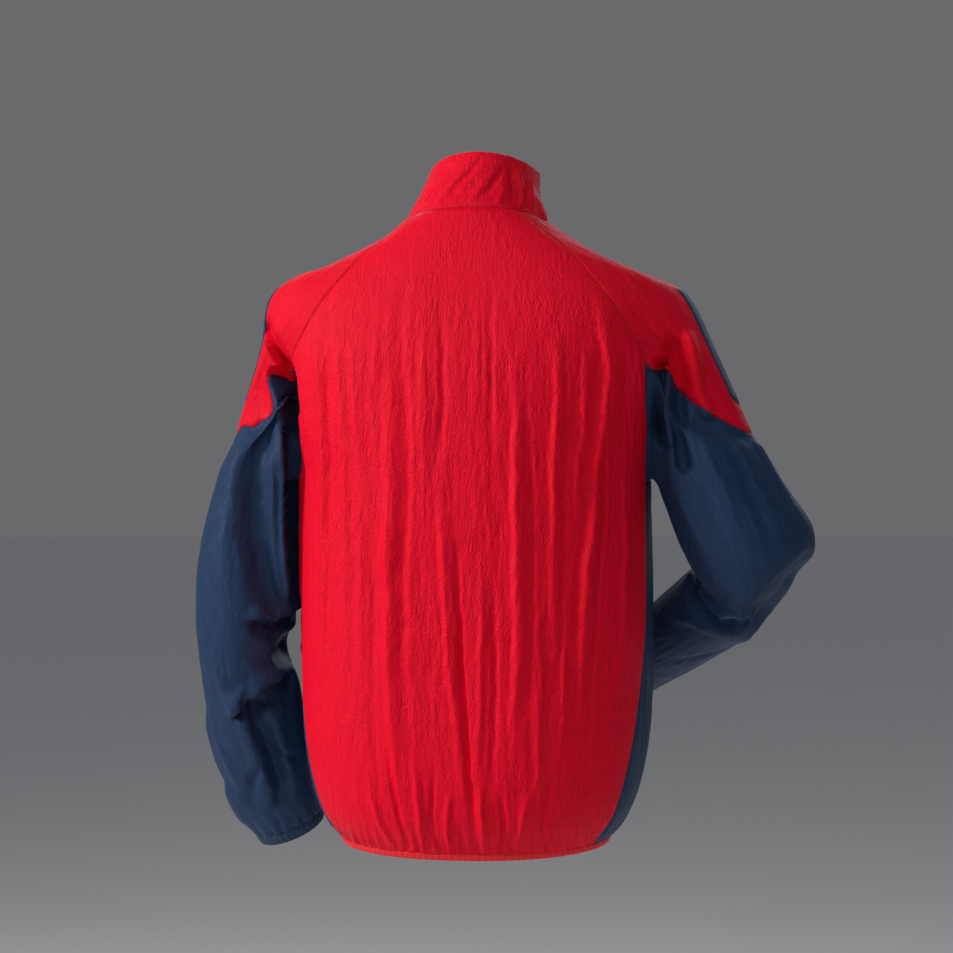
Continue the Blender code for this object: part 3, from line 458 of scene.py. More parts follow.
@dataclass(frozen=True)
class RibbedTape:
    """Woven or knitted narrow tape, such as an elastic binding or a zip's tape: matt, with fine ribs and
    painted shade between them.
    """

    name: str
    # The colour on the ribs, then the darker one between them, which is painted shade.
    lit: str
    deep: str
    rib: float
    rib_height: float
    roughness: float = 0.62
    refraction: float = 1.50
    gloss_level: float = 0.3
    along_x: bool = True

    def material(self) -> bpy.types.Material:
        """Makes the tape, which reads the cloth's own map, in metres.

        Returns:
            The material.
        """
        made, shader = new_material(self.name)
        cloth = add_node(made, "UVMap", uv_map="cloth").outputs[0]
        stripes = {
            "Vector": cloth, "Scale": 0.05 / self.rib, "Distortion": 0.8, "Detail": 1.0, "Detail Scale": 2.0,
        }
        way = "X" if self.along_x else "Y"
        ribs = add_node(made, "TexWave", stripes, bands_direction=way).outputs["Fac"]
        raised = {"Height": ribs, "Distance": self.rib_height, "Strength": 0.8}
        # Painted shade: the colour is deep between the ribs and lit on them, as the bump rises.
        feed(shader, {
            "Base Color": two_tones(made, ribs, self.deep, self.lit),
            "Normal": add_node(made, "Bump", raised).outputs[0],
            "Roughness": self.roughness,
            "IOR": self.refraction,
            "Specular IOR Level": self.gloss_level,
        })
        return made


@dataclass(frozen=True)
class HardFinish:
    """A hard surface with a fine grain: moulded acetal, spun polyester thread or plated, tumbled zinc."""

    name: str
    lit: str
    deep: str
    roughness: float
    roughness_range: float = 0.06
    metallic: float = 0.0
    grain: float = 0.0006
    grain_height: float = 0.00002

    def material(self) -> bpy.types.Material:
        """Makes the finish, in the object's own space.

        Returns:
            The material.
        """
        made, shader = new_material(self.name)
        place = add_node(made, "TexCoord").outputs["Object"]
        specks = {"Vector": place, "Scale": 1.0 / self.grain, "Detail": 2.0}
        grain = add_node(made, "TexNoise", specks).outputs["Fac"]
        rough, fine = self.roughness + self.roughness_range, self.roughness - self.roughness_range
        feed(shader, {
            "Base Color": two_tones(made, grain, self.deep, self.lit),
            "Roughness": add_node(made, "MapRange", {0: grain, 3: rough, 4: fine}).outputs[0],
            "Normal": add_node(made, "Bump", {"Height": grain, "Distance": self.grain_height}).outputs[0],
            "Metallic": self.metallic,
        })
        return made


@dataclass
class Wardrobe:
    """Every finish of the jacket, made once."""

    def __post_init__(self) -> None:
        """Makes the materials."""
        # Each nylon's first colour lies on its crinkle's ridges and its second is the painted shade of its
        # hollows.
        self.red = CrinkledNylon("red_crinkled_nylon", "#f2002b", "#e20026").material()
        self.navy = CrinkledNylon(
            "navy_crinkled_nylon", "#243d60", "#1d3352",
            gloss_level=0.15, crinkle_height=0.00090, crepe_height=0.00056,
        ).material()
        # Each tape's first colour lies on its ribs and its second is the painted shade between them.
        elastic = {"rib": 0.0011, "rib_height": 0.00018}
        self.red_elastic = RibbedTape("red_elastic_binding", "#f02a2e", "#e01c27", **elastic).material()
        self.navy_elastic = RibbedTape("navy_elastic_binding", "#203a58", "#152a44", **elastic).material()
        self.tape = RibbedTape(
            "navy_zip_tape", "#22344c", "#16253a", rib=0.0007, rib_height=0.0001, along_x=False
        ).material()
        self.red_thread = HardFinish("red_polyester_thread", "#ee2433", "#c8101f", 0.55).material()
        self.navy_thread = HardFinish("navy_polyester_thread", "#27405e", "#182c46", 0.55).material()
        self.teeth = HardFinish("navy_moulded_acetal", "#24364d", "#1b2b40", 0.32).material()
        self.zinc = HardFinish("plated_tumbled_zinc", "#c3c6ca", "#a2a6ab", 0.28, metallic=1.0).material()


# ---- the forms ----
class TorsoRing(NamedTuple):
    """A ring of the body: its sizes, how square it is, and how its back rises and its front drops."""

    height: float
    half_width: float
    back: float
    front: float
    square: float
    back_rise: float
    front_drop: float


class SeamRow(NamedTuple):
    """Half the distance between the two seams of the back, and of the front, at a height."""

    height: float
    back_half: float
    front_half: float


@dataclass
class Torso:
    """The body's form. An angle runs from the wearer's left, at 0, over the back, at 90."""

    zip_width: float = 0.016
    rings: tuple[TorsoRing, ...] = (
        TorsoRing(-0.6675, 0.1420, 0.1130, 0.118, 2.30, -0.008, 0.000),
        TorsoRing(-0.6600, 0.1450, 0.1160, 0.121, 2.30, -0.008, 0.000),
        TorsoRing(-0.6480, 0.1560, 0.1240, 0.129, 2.35, -0.007, 0.000),
        TorsoRing(-0.6320, 0.1660, 0.1320, 0.137, 2.40, -0.006, 0.000),
        TorsoRing(-0.6120, 0.1740, 0.1370, 0.142, 2.40, -0.004, 0.000),
        TorsoRing(-0.5600, 0.1840, 0.1400, 0.147, 2.40, -0.001, 0.000),
        TorsoRing(-0.4800, 0.1875, 0.1390, 0.147, 2.40, 0.000, 0.000),
        TorsoRing(-0.3800, 0.1880, 0.1370, 0.146, 2.40, 0.000, 0.000),
        TorsoRing(-0.2800, 0.1880, 0.1350, 0.143, 2.40, 0.000, 0.000),
        TorsoRing(-0.2200, 0.1980, 0.1330, 0.137, 2.40, 0.000, 0.006),
        TorsoRing(-0.1550, 0.2090, 0.1270, 0.127, 2.40, 0.000, 0.016),
        TorsoRing(-0.1150, 0.2110, 0.1180, 0.118, 2.40, 0.000, 0.025),
        TorsoRing(-0.0870, 0.2050, 0.1090, 0.110, 2.40, 0.001, 0.031),
        TorsoRing(-0.0590, 0.1790, 0.0980, 0.100, 2.38, 0.003, 0.038),
        TorsoRing(-0.0380, 0.1480, 0.0890, 0.091, 2.35, 0.005, 0.043),
        TorsoRing(-0.0150, 0.1060, 0.0770, 0.081, 2.25, 0.008, 0.048),
        TorsoRing(0.0000, 0.0770, 0.0680, 0.074, 2.20, 0.010, 0.050),
    )
    seams: tuple[SeamRow, ...] = (
        SeamRow(-0.6675, 0.1310, 0.1250),
        SeamRow(-0.6600, 0.1340, 0.1270),
        SeamRow(-0.6320, 0.1540, 0.1450),
        SeamRow(-0.6000, 0.1655, 0.1530),
        SeamRow(-0.5600, 0.1745, 0.1580),
        SeamRow(-0.5000, 0.1820, 0.1610),
        SeamRow(-0.4100, 0.1866, 0.1630),
        SeamRow(-0.2800, 0.1862, 0.1640),
        SeamRow(-0.2200, 0.1895, 0.1630),
        SeamRow(-0.1550, 0.1895, 0.1600),
        SeamRow(-0.1150, 0.1700, 0.1480),
        SeamRow(-0.0870, 0.1515, 0.1330),
        SeamRow(-0.0590, 0.1270, 0.1120),
        SeamRow(-0.0380, 0.1070, 0.0940),
        SeamRow(-0.0150, 0.0770, 0.0720),
        SeamRow(0.0000, 0.0560, 0.0560),
    )

    def point(self, angle: Array, height: Array) -> Array:
        """Points of the body with no creases.

        Args:
            angle: in degrees.
            height: of the ring, at its sides.

        Returns:
            The points.
        """
        angle, height = np.broadcast_arrays(np.asarray(angle, float), np.asarray(height, float))
        _, half_width, back, front, square, rise, drop = np.moveaxis(smooth(self.rings, height), -1, 0)
        x, y, tilt = ring_point(angle, (half_width, back, front), square, (rise, drop))
        return np.stack([x, y, height + tilt], -1)

    def normal(self, angle: Array, height: Array) -> Array:
        """The way out of the body with no creases.

        Args:
            angle: angles round the body, in degrees.
            height: heights, in metres.

        Returns:
            Unit normals.
        """
        height = np.asarray(height, float)
        low, high = np.maximum(height - 0.001, self.rings[0].height), np.minimum(height + 0.001, NECK)
        round_ring = self.point(angle + 0.5, height) - self.point(angle - 0.5, height)
        return unit(np.cross(round_ring, self.point(angle, high) - self.point(angle, low)))

    def angle_at(self, half_distance: Array, height: Array) -> Array:
        """Finds where the rings are this far from the middle plane.

        Args:
            half_distance: the distance, in metres.
            height: heights, in metres.

        Returns:
            Angles from the side, in degrees.
        """
        ring = smooth(self.rings, height)
        share = np.minimum(half_distance / ring[..., 1], 1.0)
        return np.degrees(np.arccos(share ** (ring[..., 4] / 2.0)))

    def back_seam(self, height: Array) -> Array:
        """Angles of the left seam of the back."""
        return self.angle_at(smooth(self.seams, height)[..., 1], height)

    def front_seam(self, height: Array) -> Array:
        """Angles of the left seam of the front, below 0."""
        return -self.angle_at(smooth(self.seams, height)[..., 2], height)

    def zip_half(self, height: Array) -> Array:
        """Half the angles that the zip's tape takes."""
        ring = smooth(self.rings, height)
        return np.degrees(np.arcsin((self.zip_width / 2 / ring[..., 1]) ** (ring[..., 4] / 2.0)))

    def even(self, low: float, high: float, height: float, count: int) -> Array:
        """Angles that cut a stretch of a ring into equal lengths.

        Args:
            low: the angle at which the stretch begins.
            high: the angle at which it ends.
            height: of the ring.
            count: how many lengths.

        Returns:
            One more angle than the count.
        """
        dense = np.linspace(low, high, 121)
        run = lengths_along(self.point(dense, height))
        return np.interp(np.linspace(0.0, run[-1], count + 1), run, dense)


class Crease(NamedTuple):
    """A soft ridge or trough: its path on the panel, its half widths on either side, and its height."""

    path: tuple[tuple[float, float], ...]
    before: float
    after: float
    height: float


def mirrored(creases: Sequence[Crease], mirror: float, shift: tuple[float, float]) -> tuple[Crease, ...]:
    """Creases as they lie on the other side.

    Args:
        creases: with paths of (angle, height).
        mirror: what an angle and its mirror add up to.
        shift: how far the mirrored paths are moved, in angle and in height.

    Returns:
        The mirrored creases.
    """
    return tuple(
        Crease(tuple((mirror - a + shift[0], v + shift[1]) for a, v in c.path), c.after, c.before, c.height)
        for c in creases
    )


class Pull(NamedTuple):
    """What draws the cloth of all panels near it: a path in space, how far it reaches, and its move.

    With an under move it makes a lip: the cloth on its lower side, toward below, takes that move instead.
    """

    path: tuple[tuple[float, float, float], ...]
    reach: float
    move: tuple[float, float, float]
    under: tuple[float, float, float] | None = None
    below: tuple[float, float, float] = (0.0, 0.0, -1.0)


def pulled(points: Array, pulls: Sequence[Pull]) -> Array:
    """Points as the pulls leave them.

    Args:
        points: of a panel.
        pulls: what draws the cloth.

    Returns:
        The moved points.
    """
    for pull in pulls:
        path = np.array(pull.path)
        gap, lower = np.full(points.shape[:-1], 1e9), np.zeros(points.shape[:-1])
        for first, last in zip(path, path[1:]):
            way = last - first
            share = np.clip(((points - first) @ way) / (way @ way), 0.0, 1.0)[..., None]
            off = points - first - share * way
            length = np.linalg.norm(off, axis=-1)
            lower = np.where(length < gap, ease(0.5 + off @ unit(np.array(pull.below)) / (2.0 * LIP)), lower)
            gap = np.minimum(gap, length)
        move = np.array(pull.move) + 0.0 * points
        if pull.under is not None:
            move = move * (1.0 - lower[..., None]) + np.array(pull.under) * lower[..., None]
        points = points + bell(gap, pull.reach)[..., None] * move
    return points


@dataclass
class Cloth:
    """A panel as a grid of points, with its own coordinates across and along in metres.

    Each column of a row has a place u, such as an angle, and each row has a place v, such as a height.
    """

    name: str
    points: Array
    u: Array
    v: Array
    sewn: frozenset[Border] = frozenset(Border)
    flush: frozenset[Border] = frozenset()
    closed: bool = False
    outward: tuple[float, float, float] | None = None
    origin: float = 0.5
    pulls: tuple[Pull, ...] = ()
    bare: Array = field(init=False)
    across: Array = field(init=False)
    along: Array = field(init=False)
    girth: Array = field(init=False)

    def __post_init__(self) -> None:
        """Measures the cloth's own coordinates on the bare form."""
        steps = np.linalg.norm(np.diff(self.points, axis=1), axis=2)
        self.across = np.concatenate([np.zeros((len(self.points), 1)), np.cumsum(steps, axis=1)], axis=1)
        closing = np.linalg.norm(self.points[:, 0] - self.points[:, -1], axis=1)
        self.girth = self.across[:, -1] + (closing if self.closed else 0.0)
        self.across = self.across - self.girth[:, None] * self.origin
        middle = self.points[:, self.points.shape[1] // 2]
        self.along = lengths_along(middle)[:, None] + np.zeros(self.across.shape)
        self.bare = self.points
        self.points = pulled(self.points, self.pulls)

    def normals(self) -> Array:
        """The outward normals of the grid as it is now.

        Returns:
            Unit normals.
        """
        if self.closed:
            over = np.roll(self.points, -1, axis=1) - np.roll(self.points, 1, axis=1)
        else:
            over = np.gradient(self.points, axis=1)
        found = unit(np.cross(over, np.gradient(self.points, axis=0)))
        return found * self.facing(found)

    def facing(self, found: Array) -> float:
        """Tells which way normals point.

        Args:
            found: normals of the grid's points.

        Returns:
            One where they point outward, and minus one where they point inward.
        """
        if self.outward is not None:
            return math.copysign(1.0, float((found * np.array(self.outward)).sum()))
        centre = self.bare.mean(axis=1, keepdims=True)
        return math.copysign(1.0, float((found * (self.bare - centre)).sum()))

    def lift(self, amount: Array) -> None:
        """Moves the cloth outward by an amount at each point."""
        self.points = self.points + self.normals() * np.asarray(amount)[..., None]

    def border_distance(self, border: Border) -> Array:
        """How far each point is from a border, on the cloth.

        Args:
            border: the border.

        Returns:
            Distances in metres.
        """
        if border is Border.LOW:
            return self.along - self.along[:1]
        if border is Border.HIGH:
            return self.along[-1:] - self.along
        if border is Border.START:
            return self.across - self.across[:, :1]
        return self.across[:, -1:] - self.across

    def borders(self) -> list[Border]:
        """The sewn borders that this cloth has."""
        rows_only = (Border.LOW, Border.HIGH)
        return [b for b in Border if b in self.sewn and (b in rows_only or not self.closed)]

    def clear_of_seams(self, clearance: float = CREASE_CLEARANCE, borders: Sequence[Border] = ()) -> Array:
        """How clear each point is of the sewn borders.

        Args:
            clearance: the distance at which a point is clear.
            borders: the sewn borders, or none for all of them.

        Returns:
            Shares that are 0 at the borders and 1 away from them.
        """
        share = np.ones(self.across.shape)
        for border in borders or self.borders():
            share = share * ease(self.border_distance(border) / clearance)
        return share

    def place(self, u: Array, v: Array) -> tuple[Array, Array]:
        """Turns the grid's own terms into metres.

        Args:
            u: places across.
            v: places along.

        Returns:
            The places in metres, across and along.
        """
        rows = np.interp(v, self.v, np.arange(len(self.v)))
        nearest = np.clip(np.round(rows).astype(int), 0, len(self.v) - 1)
        across = np.array([np.interp(a, self.u[r], self.across[r]) for a, r in zip(u, nearest)])
        return across, np.interp(v, self.v, self.along[:, 0])

    def crease_lift(self, crease: Crease, seed: int) -> Array:
        """The lift of one crease over the whole cloth.

        Args:
            crease: its path in places (u, v), its half widths and its height.
            seed: which random unevenness it has.

        Returns:
            The lift at each point.
        """
        path = np.array(crease.path, float)
        knots = np.column_stack([np.arange(len(path)), path])
        fine = smooth(knots, np.linspace(0.0, len(path) - 1.0, 17))
        x, y = self.place(fine[:, 1], fine[:, 2])
        ends = slice(*np.searchsorted(self.along[:, 0], [y.min() - 0.03, y.max() + 0.03]))
        lift = np.zeros(self.across.shape)
        for turn in (-1, 0, 1) if self.closed else (0,):
            px = self.across[ends] + turn * self.girth[ends, None]
            py = self.along[ends]
            # The path wanders a little, and its height varies, so that no two creases look alike.
            wander = 0.003 * noise(py / 0.045, px / 0.2, seed)
            px = px + wander + 0.002 * noise(py / 0.014, px / 0.012, seed + 5)
            best = np.full(px.shape, 1e9)
            side, share = np.zeros(px.shape), np.zeros(px.shape)
            for k in range(len(x) - 1):
                dx, dy = x[k + 1] - x[k], y[k + 1] - y[k]
                run = np.clip(((px - x[k]) * dx + (py - y[k]) * dy) / (dx * dx + dy * dy + 1e-12), 0, 1)
                gap = np.hypot(px - x[k] - run * dx, py - y[k] - run * dy)
                nearer = gap < best
                best = np.where(nearer, gap, best)
                side = np.where(nearer, (px - x[k]) * dy - (py - y[k]) * dx, side)
                share = np.where(nearer, (k + run) / (len(x) - 1), share)
            width = np.where(side < 0, crease.before, crease.after)
            taper = np.sin(np.pi * np.clip(share, 0.02, 0.98)) ** 0.7
            uneven = 1.0 + 0.5 * noise(py / 0.05, px / 0.3, seed + 7)
            profile = fold_side(best, width) if crease.height > 0 else bell(best, width)
            lift[ends] += crease.height * profile * taper * uneven
        return lift

    def crinkle(self, seed: int, width: float = 0.0068, length: float = 0.042) -> Array:
        """Furrows that run along the cloth, as heat sets them, in three sizes: about -2 to 2.

        Args:
            seed: which furrows.
            width: from one furrow to the next, in the middle size.
            length: of a furrow in the middle size.

        Returns:
            The height at each point.
        """
        x, y = self.across, self.along
        x = x + 0.007 * noise(x / 0.03, y / 0.05, seed) + 0.0028 * noise(x / 0.009, y / 0.013, seed + 1)
        total = np.zeros(x.shape)
        for step, (size, weight) in enumerate(((2.6, 1.5), (1.0, 1.1), (0.5, 0.5))):
            hills = noise(x / (size * width), y / (size * length), seed + 2 + step)
            patch = 0.7 + 0.9 * noise(x / 0.05, y / 0.08, seed + 6 + step)
            total += weight * patch * (1.0 - 3.2 * np.abs(hills))
        return total

    def sew(self, seed: int) -> None:
        """Sinks the cloth into its seams, with small puckers beside them.

        Args:
            seed: which random unevenness the puckers have.
        """
        sunk = np.zeros(self.across.shape)
        for border in self.borders():
            gap = self.border_distance(border)
            run = self.along if border in (Border.START, Border.END) else self.across
            if border not in self.flush:
                sunk -= SEAM_DEPTH * np.exp(-((gap / SEAM_ROLL) ** 2))
            beside = np.exp(-((gap / 0.009) ** 2)) * (1.0 - np.exp(-((gap / 0.0035) ** 2)))
            sunk += 0.0008 * beside * noise(run / 0.008, gap / 0.02, seed + 11)
        self.lift(sunk)

    def seam_line(self, border: Border, inset: float) -> tuple[Array, Array]:
        """A line that runs beside a border.

        Args:
            border: which one.
            inset: how far inside it.

        Returns:
            The line's points and the cloth's normals there.
        """
        normals = self.normals()
        if border in (Border.START, Border.END):
            target = self.across[:, 0] + inset if border is Border.START else self.across[:, -1] - inset
            sources = [(self.across[i], self.points[i], normals[i]) for i in range(len(target))]
        else:
            level = self.along[0, 0] + inset if border is Border.LOW else self.along[-1, 0] - inset
            target = np.full(self.points.shape[1], level)
            sources = [(self.along[:, 0], self.points[:, j], normals[:, j]) for j in range(len(target))]
        line, ways = [], []
        for at, (run, points, directions) in zip(target, sources):
            line.append([np.interp(at, run, points[:, k]) for k in range(3)])
            ways.append([np.interp(at, run, directions[:, k]) for k in range(3)])
        return np.array(line), unit(np.array(ways))

    def build(self, material: bpy.types.Material, thickness: float = CLOTH) -> bpy.types.Object:
        """Makes the panel's mesh, with its sewn edges turned in and a map of its cloth in metres.

        Args:
            material: the cloth's finish.
            thickness: of the shell, which goes inward.

        Returns:
            The object.
        """
        points, across, along = self.points, self.across, self.along
        inward = -self.normals() * TURN_IN
        for border, axis, last in (
            (Border.START, 1, False), (Border.END, 1, True), (Border.LOW, 0, False), (Border.HIGH, 0, True),
        ):
            if border not in self.sewn or (self.closed and axis == 1):
                continue
            beyond = TURN_IN if last else -TURN_IN
            moves = (np.take(inward, [-1 if last else 0], axis), beyond * axis, beyond * (1 - axis), 0.0)
            grown = []
            for grid, move in zip((points, across, along, inward), moves):
                edge = np.take(grid, [-1 if last else 0], axis) + move
                grown.append(np.concatenate([grid, edge] if last else [edge, grid], axis))
            points, across, along, inward = grown
        around = None
        if self.closed:
            around = np.concatenate([self.girth[:1], self.girth, self.girth[-1:]])
            around = around[(0 if Border.LOW in self.sewn else 1):][:len(points)]
        return grid_object(
            self.name, points, (across, along, around), self.needs_flip(), material, thickness
        )

    def needs_flip(self) -> bool:
        """Tells how faces in grid order point.

        Returns:
            Whether they would point inward.
        """
        over = self.bare[1:, 1:] - self.bare[1:, :-1]
        up = self.bare[1:, 1:] - self.bare[:-1, 1:]
        return float((np.cross(over, up) * self.normals()[1:, 1:]).sum()) < 0


def quads(grid: Array) -> Array:
    """The four corners of each cell of a grid, in order round it."""
    corners = [grid[:-1, :-1], grid[:-1, 1:], grid[1:, 1:], grid[1:, :-1]]
    return np.stack(corners, 2).reshape((-1, 4) + grid.shape[2:])


def mesh_object(
    name: str,
    points: Array,
    faces: Array | list,
    material: bpy.types.Material,
    cloth_map: Array | None = None,
    thickness: float = 0.0,
) -> bpy.types.Object:
    """Makes an object from points and faces.

    Args:
        name: the object's name.
        points: its vertices.
        faces: corner indices of each face.
        material: its finish.
        cloth_map: the cloth coordinates of each face corner, or None.
        thickness: of the wall that goes inward from the faces, or 0 for none.

    Returns:
        The object, in the scene.
    """
    mesh = bpy.data.meshes.new(name)
    mesh.from_pydata(np.asarray(points).tolist(), [], faces if isinstance(faces, list) else faces.tolist())
    mesh.shade_smooth()
    mesh.materials.append(material)
    if cloth_map is not None:
        layer = mesh.uv_layers.new(name="cloth")
        layer.data.foreach_set("uv", np.ascontiguousarray(cloth_map, np.float32).ravel())
    made = bpy.data.objects.new(name, mesh)
    bpy.context.scene.collection.objects.link(made)
    if thickness:
        wall = made.modifiers.new("Wall", "SOLIDIFY")
        wall.thickness = thickness
        wall.offset = -1.0
    return made


def grid_object(
    name: str,
    points: Array,
    places: tuple[Array, Array, Array | None],
    flip: bool,
    material: bpy.types.Material,
    thickness: float,
) -> bpy.types.Object:
    """Makes an object from a grid of points.

    Args:
        name: the object's name.
        points: the grid.
        places: where the points are across and along the cloth, and how long each row is if it closes.
        flip: whether faces in grid order would point inward.
        material: its finish.
        thickness: of the wall that goes inward from the faces.

    Returns:
        The object.
    """
    across, along, around = places
    index = np.arange(points.shape[0] * points.shape[1]).reshape(points.shape[:2])
    maps = np.stack([across, along], -1)
    if around is not None:
        index = np.concatenate([index, index[:, :1]], axis=1)
        maps = np.concatenate([maps, maps[:, :1] + np.stack([around, 0 * around], -1)[:, None]], axis=1)
    faces, corners = quads(index), quads(maps)
    if flip:
        faces, corners = faces[:, ::-1], corners[:, ::-1]
    return mesh_object(name, points.reshape(-1, 3), faces, material, corners.reshape(-1, 2), thickness)


def rolled_object(cloth: Cloth, material: bpy.types.Material, row: int) -> bpy.types.Object:
    """Makes a rolled piece, such as a folded binding, whose outward side is that of one of its rows.

    Args:
        cloth: the piece as a grid.
        material: its finish.
        row: a row on its outer side.

    Returns:
        The object.
    """
    points = cloth.points
    over = points[row, 1:] - points[row, :-1]
    up = points[row + 1, :-1] - points[row, :-1]
    flip = (np.cross(over, up) * (points[row, :-1] - points[row].mean(axis=0))).sum() <= 0
    around = cloth.girth if cloth.closed else None
    return grid_object(cloth.name, points, (cloth.across, cloth.along, around), flip, material, CLOTH)


@dataclass(frozen=True)
class Cut:
    """What a piece was cut to, how it is held, and what it hangs from or lies on."""

    width: float
    length: float
    area: float
    held: Held
    rests_on: tuple[str, ...]


def dress(made: bpy.types.Object, replaced: Sequence[str] = ()) -> None:
    """Registers a piece: the body it rides on and what it replaces.

    Args:
        made: the piece.
        replaced: the nodes that it stands for.
    """
    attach(made, JACKET_BODY)
    if replaced:
        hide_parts(*replaced)
    LOG.info("%s: %d faces", made.name, len(made.data.polygons))


# ---- stitching ----
@dataclass
class Stitching:
    """Lockstitch seen from its face: short threads that lie end to end beside a seam."""

    name: str
    material: bpy.types.Material
    slot: Slot
    pitch: float = 0.0031
    length: float = 0.0024
    radius: float = 0.00024
    look_ahead: float = 0.0008
    sides: int = 5

    def __post_init__(self) -> None:
        """Starts with no stitches."""
        self.places: list[tuple[Array, Array, Array]] = []

    def run(self, line: Array, normals: Array) -> None:
        """Sews along a line.

        Args:
            line: the points that it passes through.
            normals: the cloth's normals there.
        """
        run = lengths_along(line)
        at = np.arange(self.pitch, run[-1] - self.pitch, self.pitch)
        centre, ahead = read_along(at, run, line), read_along(at + self.look_ahead, run, line)
        self.places.append((centre, unit(ahead - centre), unit(read_along(at, run, normals))))

    def build(self) -> None:
        """Makes all the stitches as one mesh."""
        centre, ahead, normal = (np.concatenate(parts) for parts in zip(*self.places))
        beside = np.cross(ahead, normal)
        turns = np.arange(self.sides) * 2.0 * math.pi / self.sides
        template = [(-0.5 * self.length, -self.radius, 0.0)]
        for end in (-0.32, 0.32):
            for turn in turns:
                rise = self.radius * (0.55 + math.sin(turn))
                template.append((end * self.length, rise, self.radius * math.cos(turn)))
        template.append((0.5 * self.length, -self.radius, 0.0))
        points = sum(
            axis[:, None] * np.array([t[k] for t in template])[None, :, None]
            for k, axis in enumerate((ahead, normal, beside))
        )
        points = points + centre[:, None]
        faces, n, last = [], self.sides, len(template) - 1
        for i in range(n):
            j = (i + 1) % n
            faces += [(0, 1 + j, 1 + i), (1 + i, 1 + j, 1 + n + j, 1 + n + i), (last, 1 + n + i, 1 + n + j)]
        every = [tuple(k * len(template) + c for c in f) for k in range(len(centre)) for f in faces]
        made = mesh_object(self.name, points.reshape(-1, 3), every, self.material)
        dress(made)


# ---- the body ----
class PanelPlan(NamedTuple):
    """How a panel is made.

    Its rows run between the angles that low and high give at a height. The origin is the share of a row
    at which its cloth lies on the straight grain, and the crinkle is a height.
    """

    name: str
    low: Callable[[float], Array]
    high: Callable[[float], Array]
    columns: int
    top: float
    origin: float
    creases: tuple[Crease, ...]
    material: bpy.types.Material
    slot: Slot
    crinkle: float
    cut: Cut


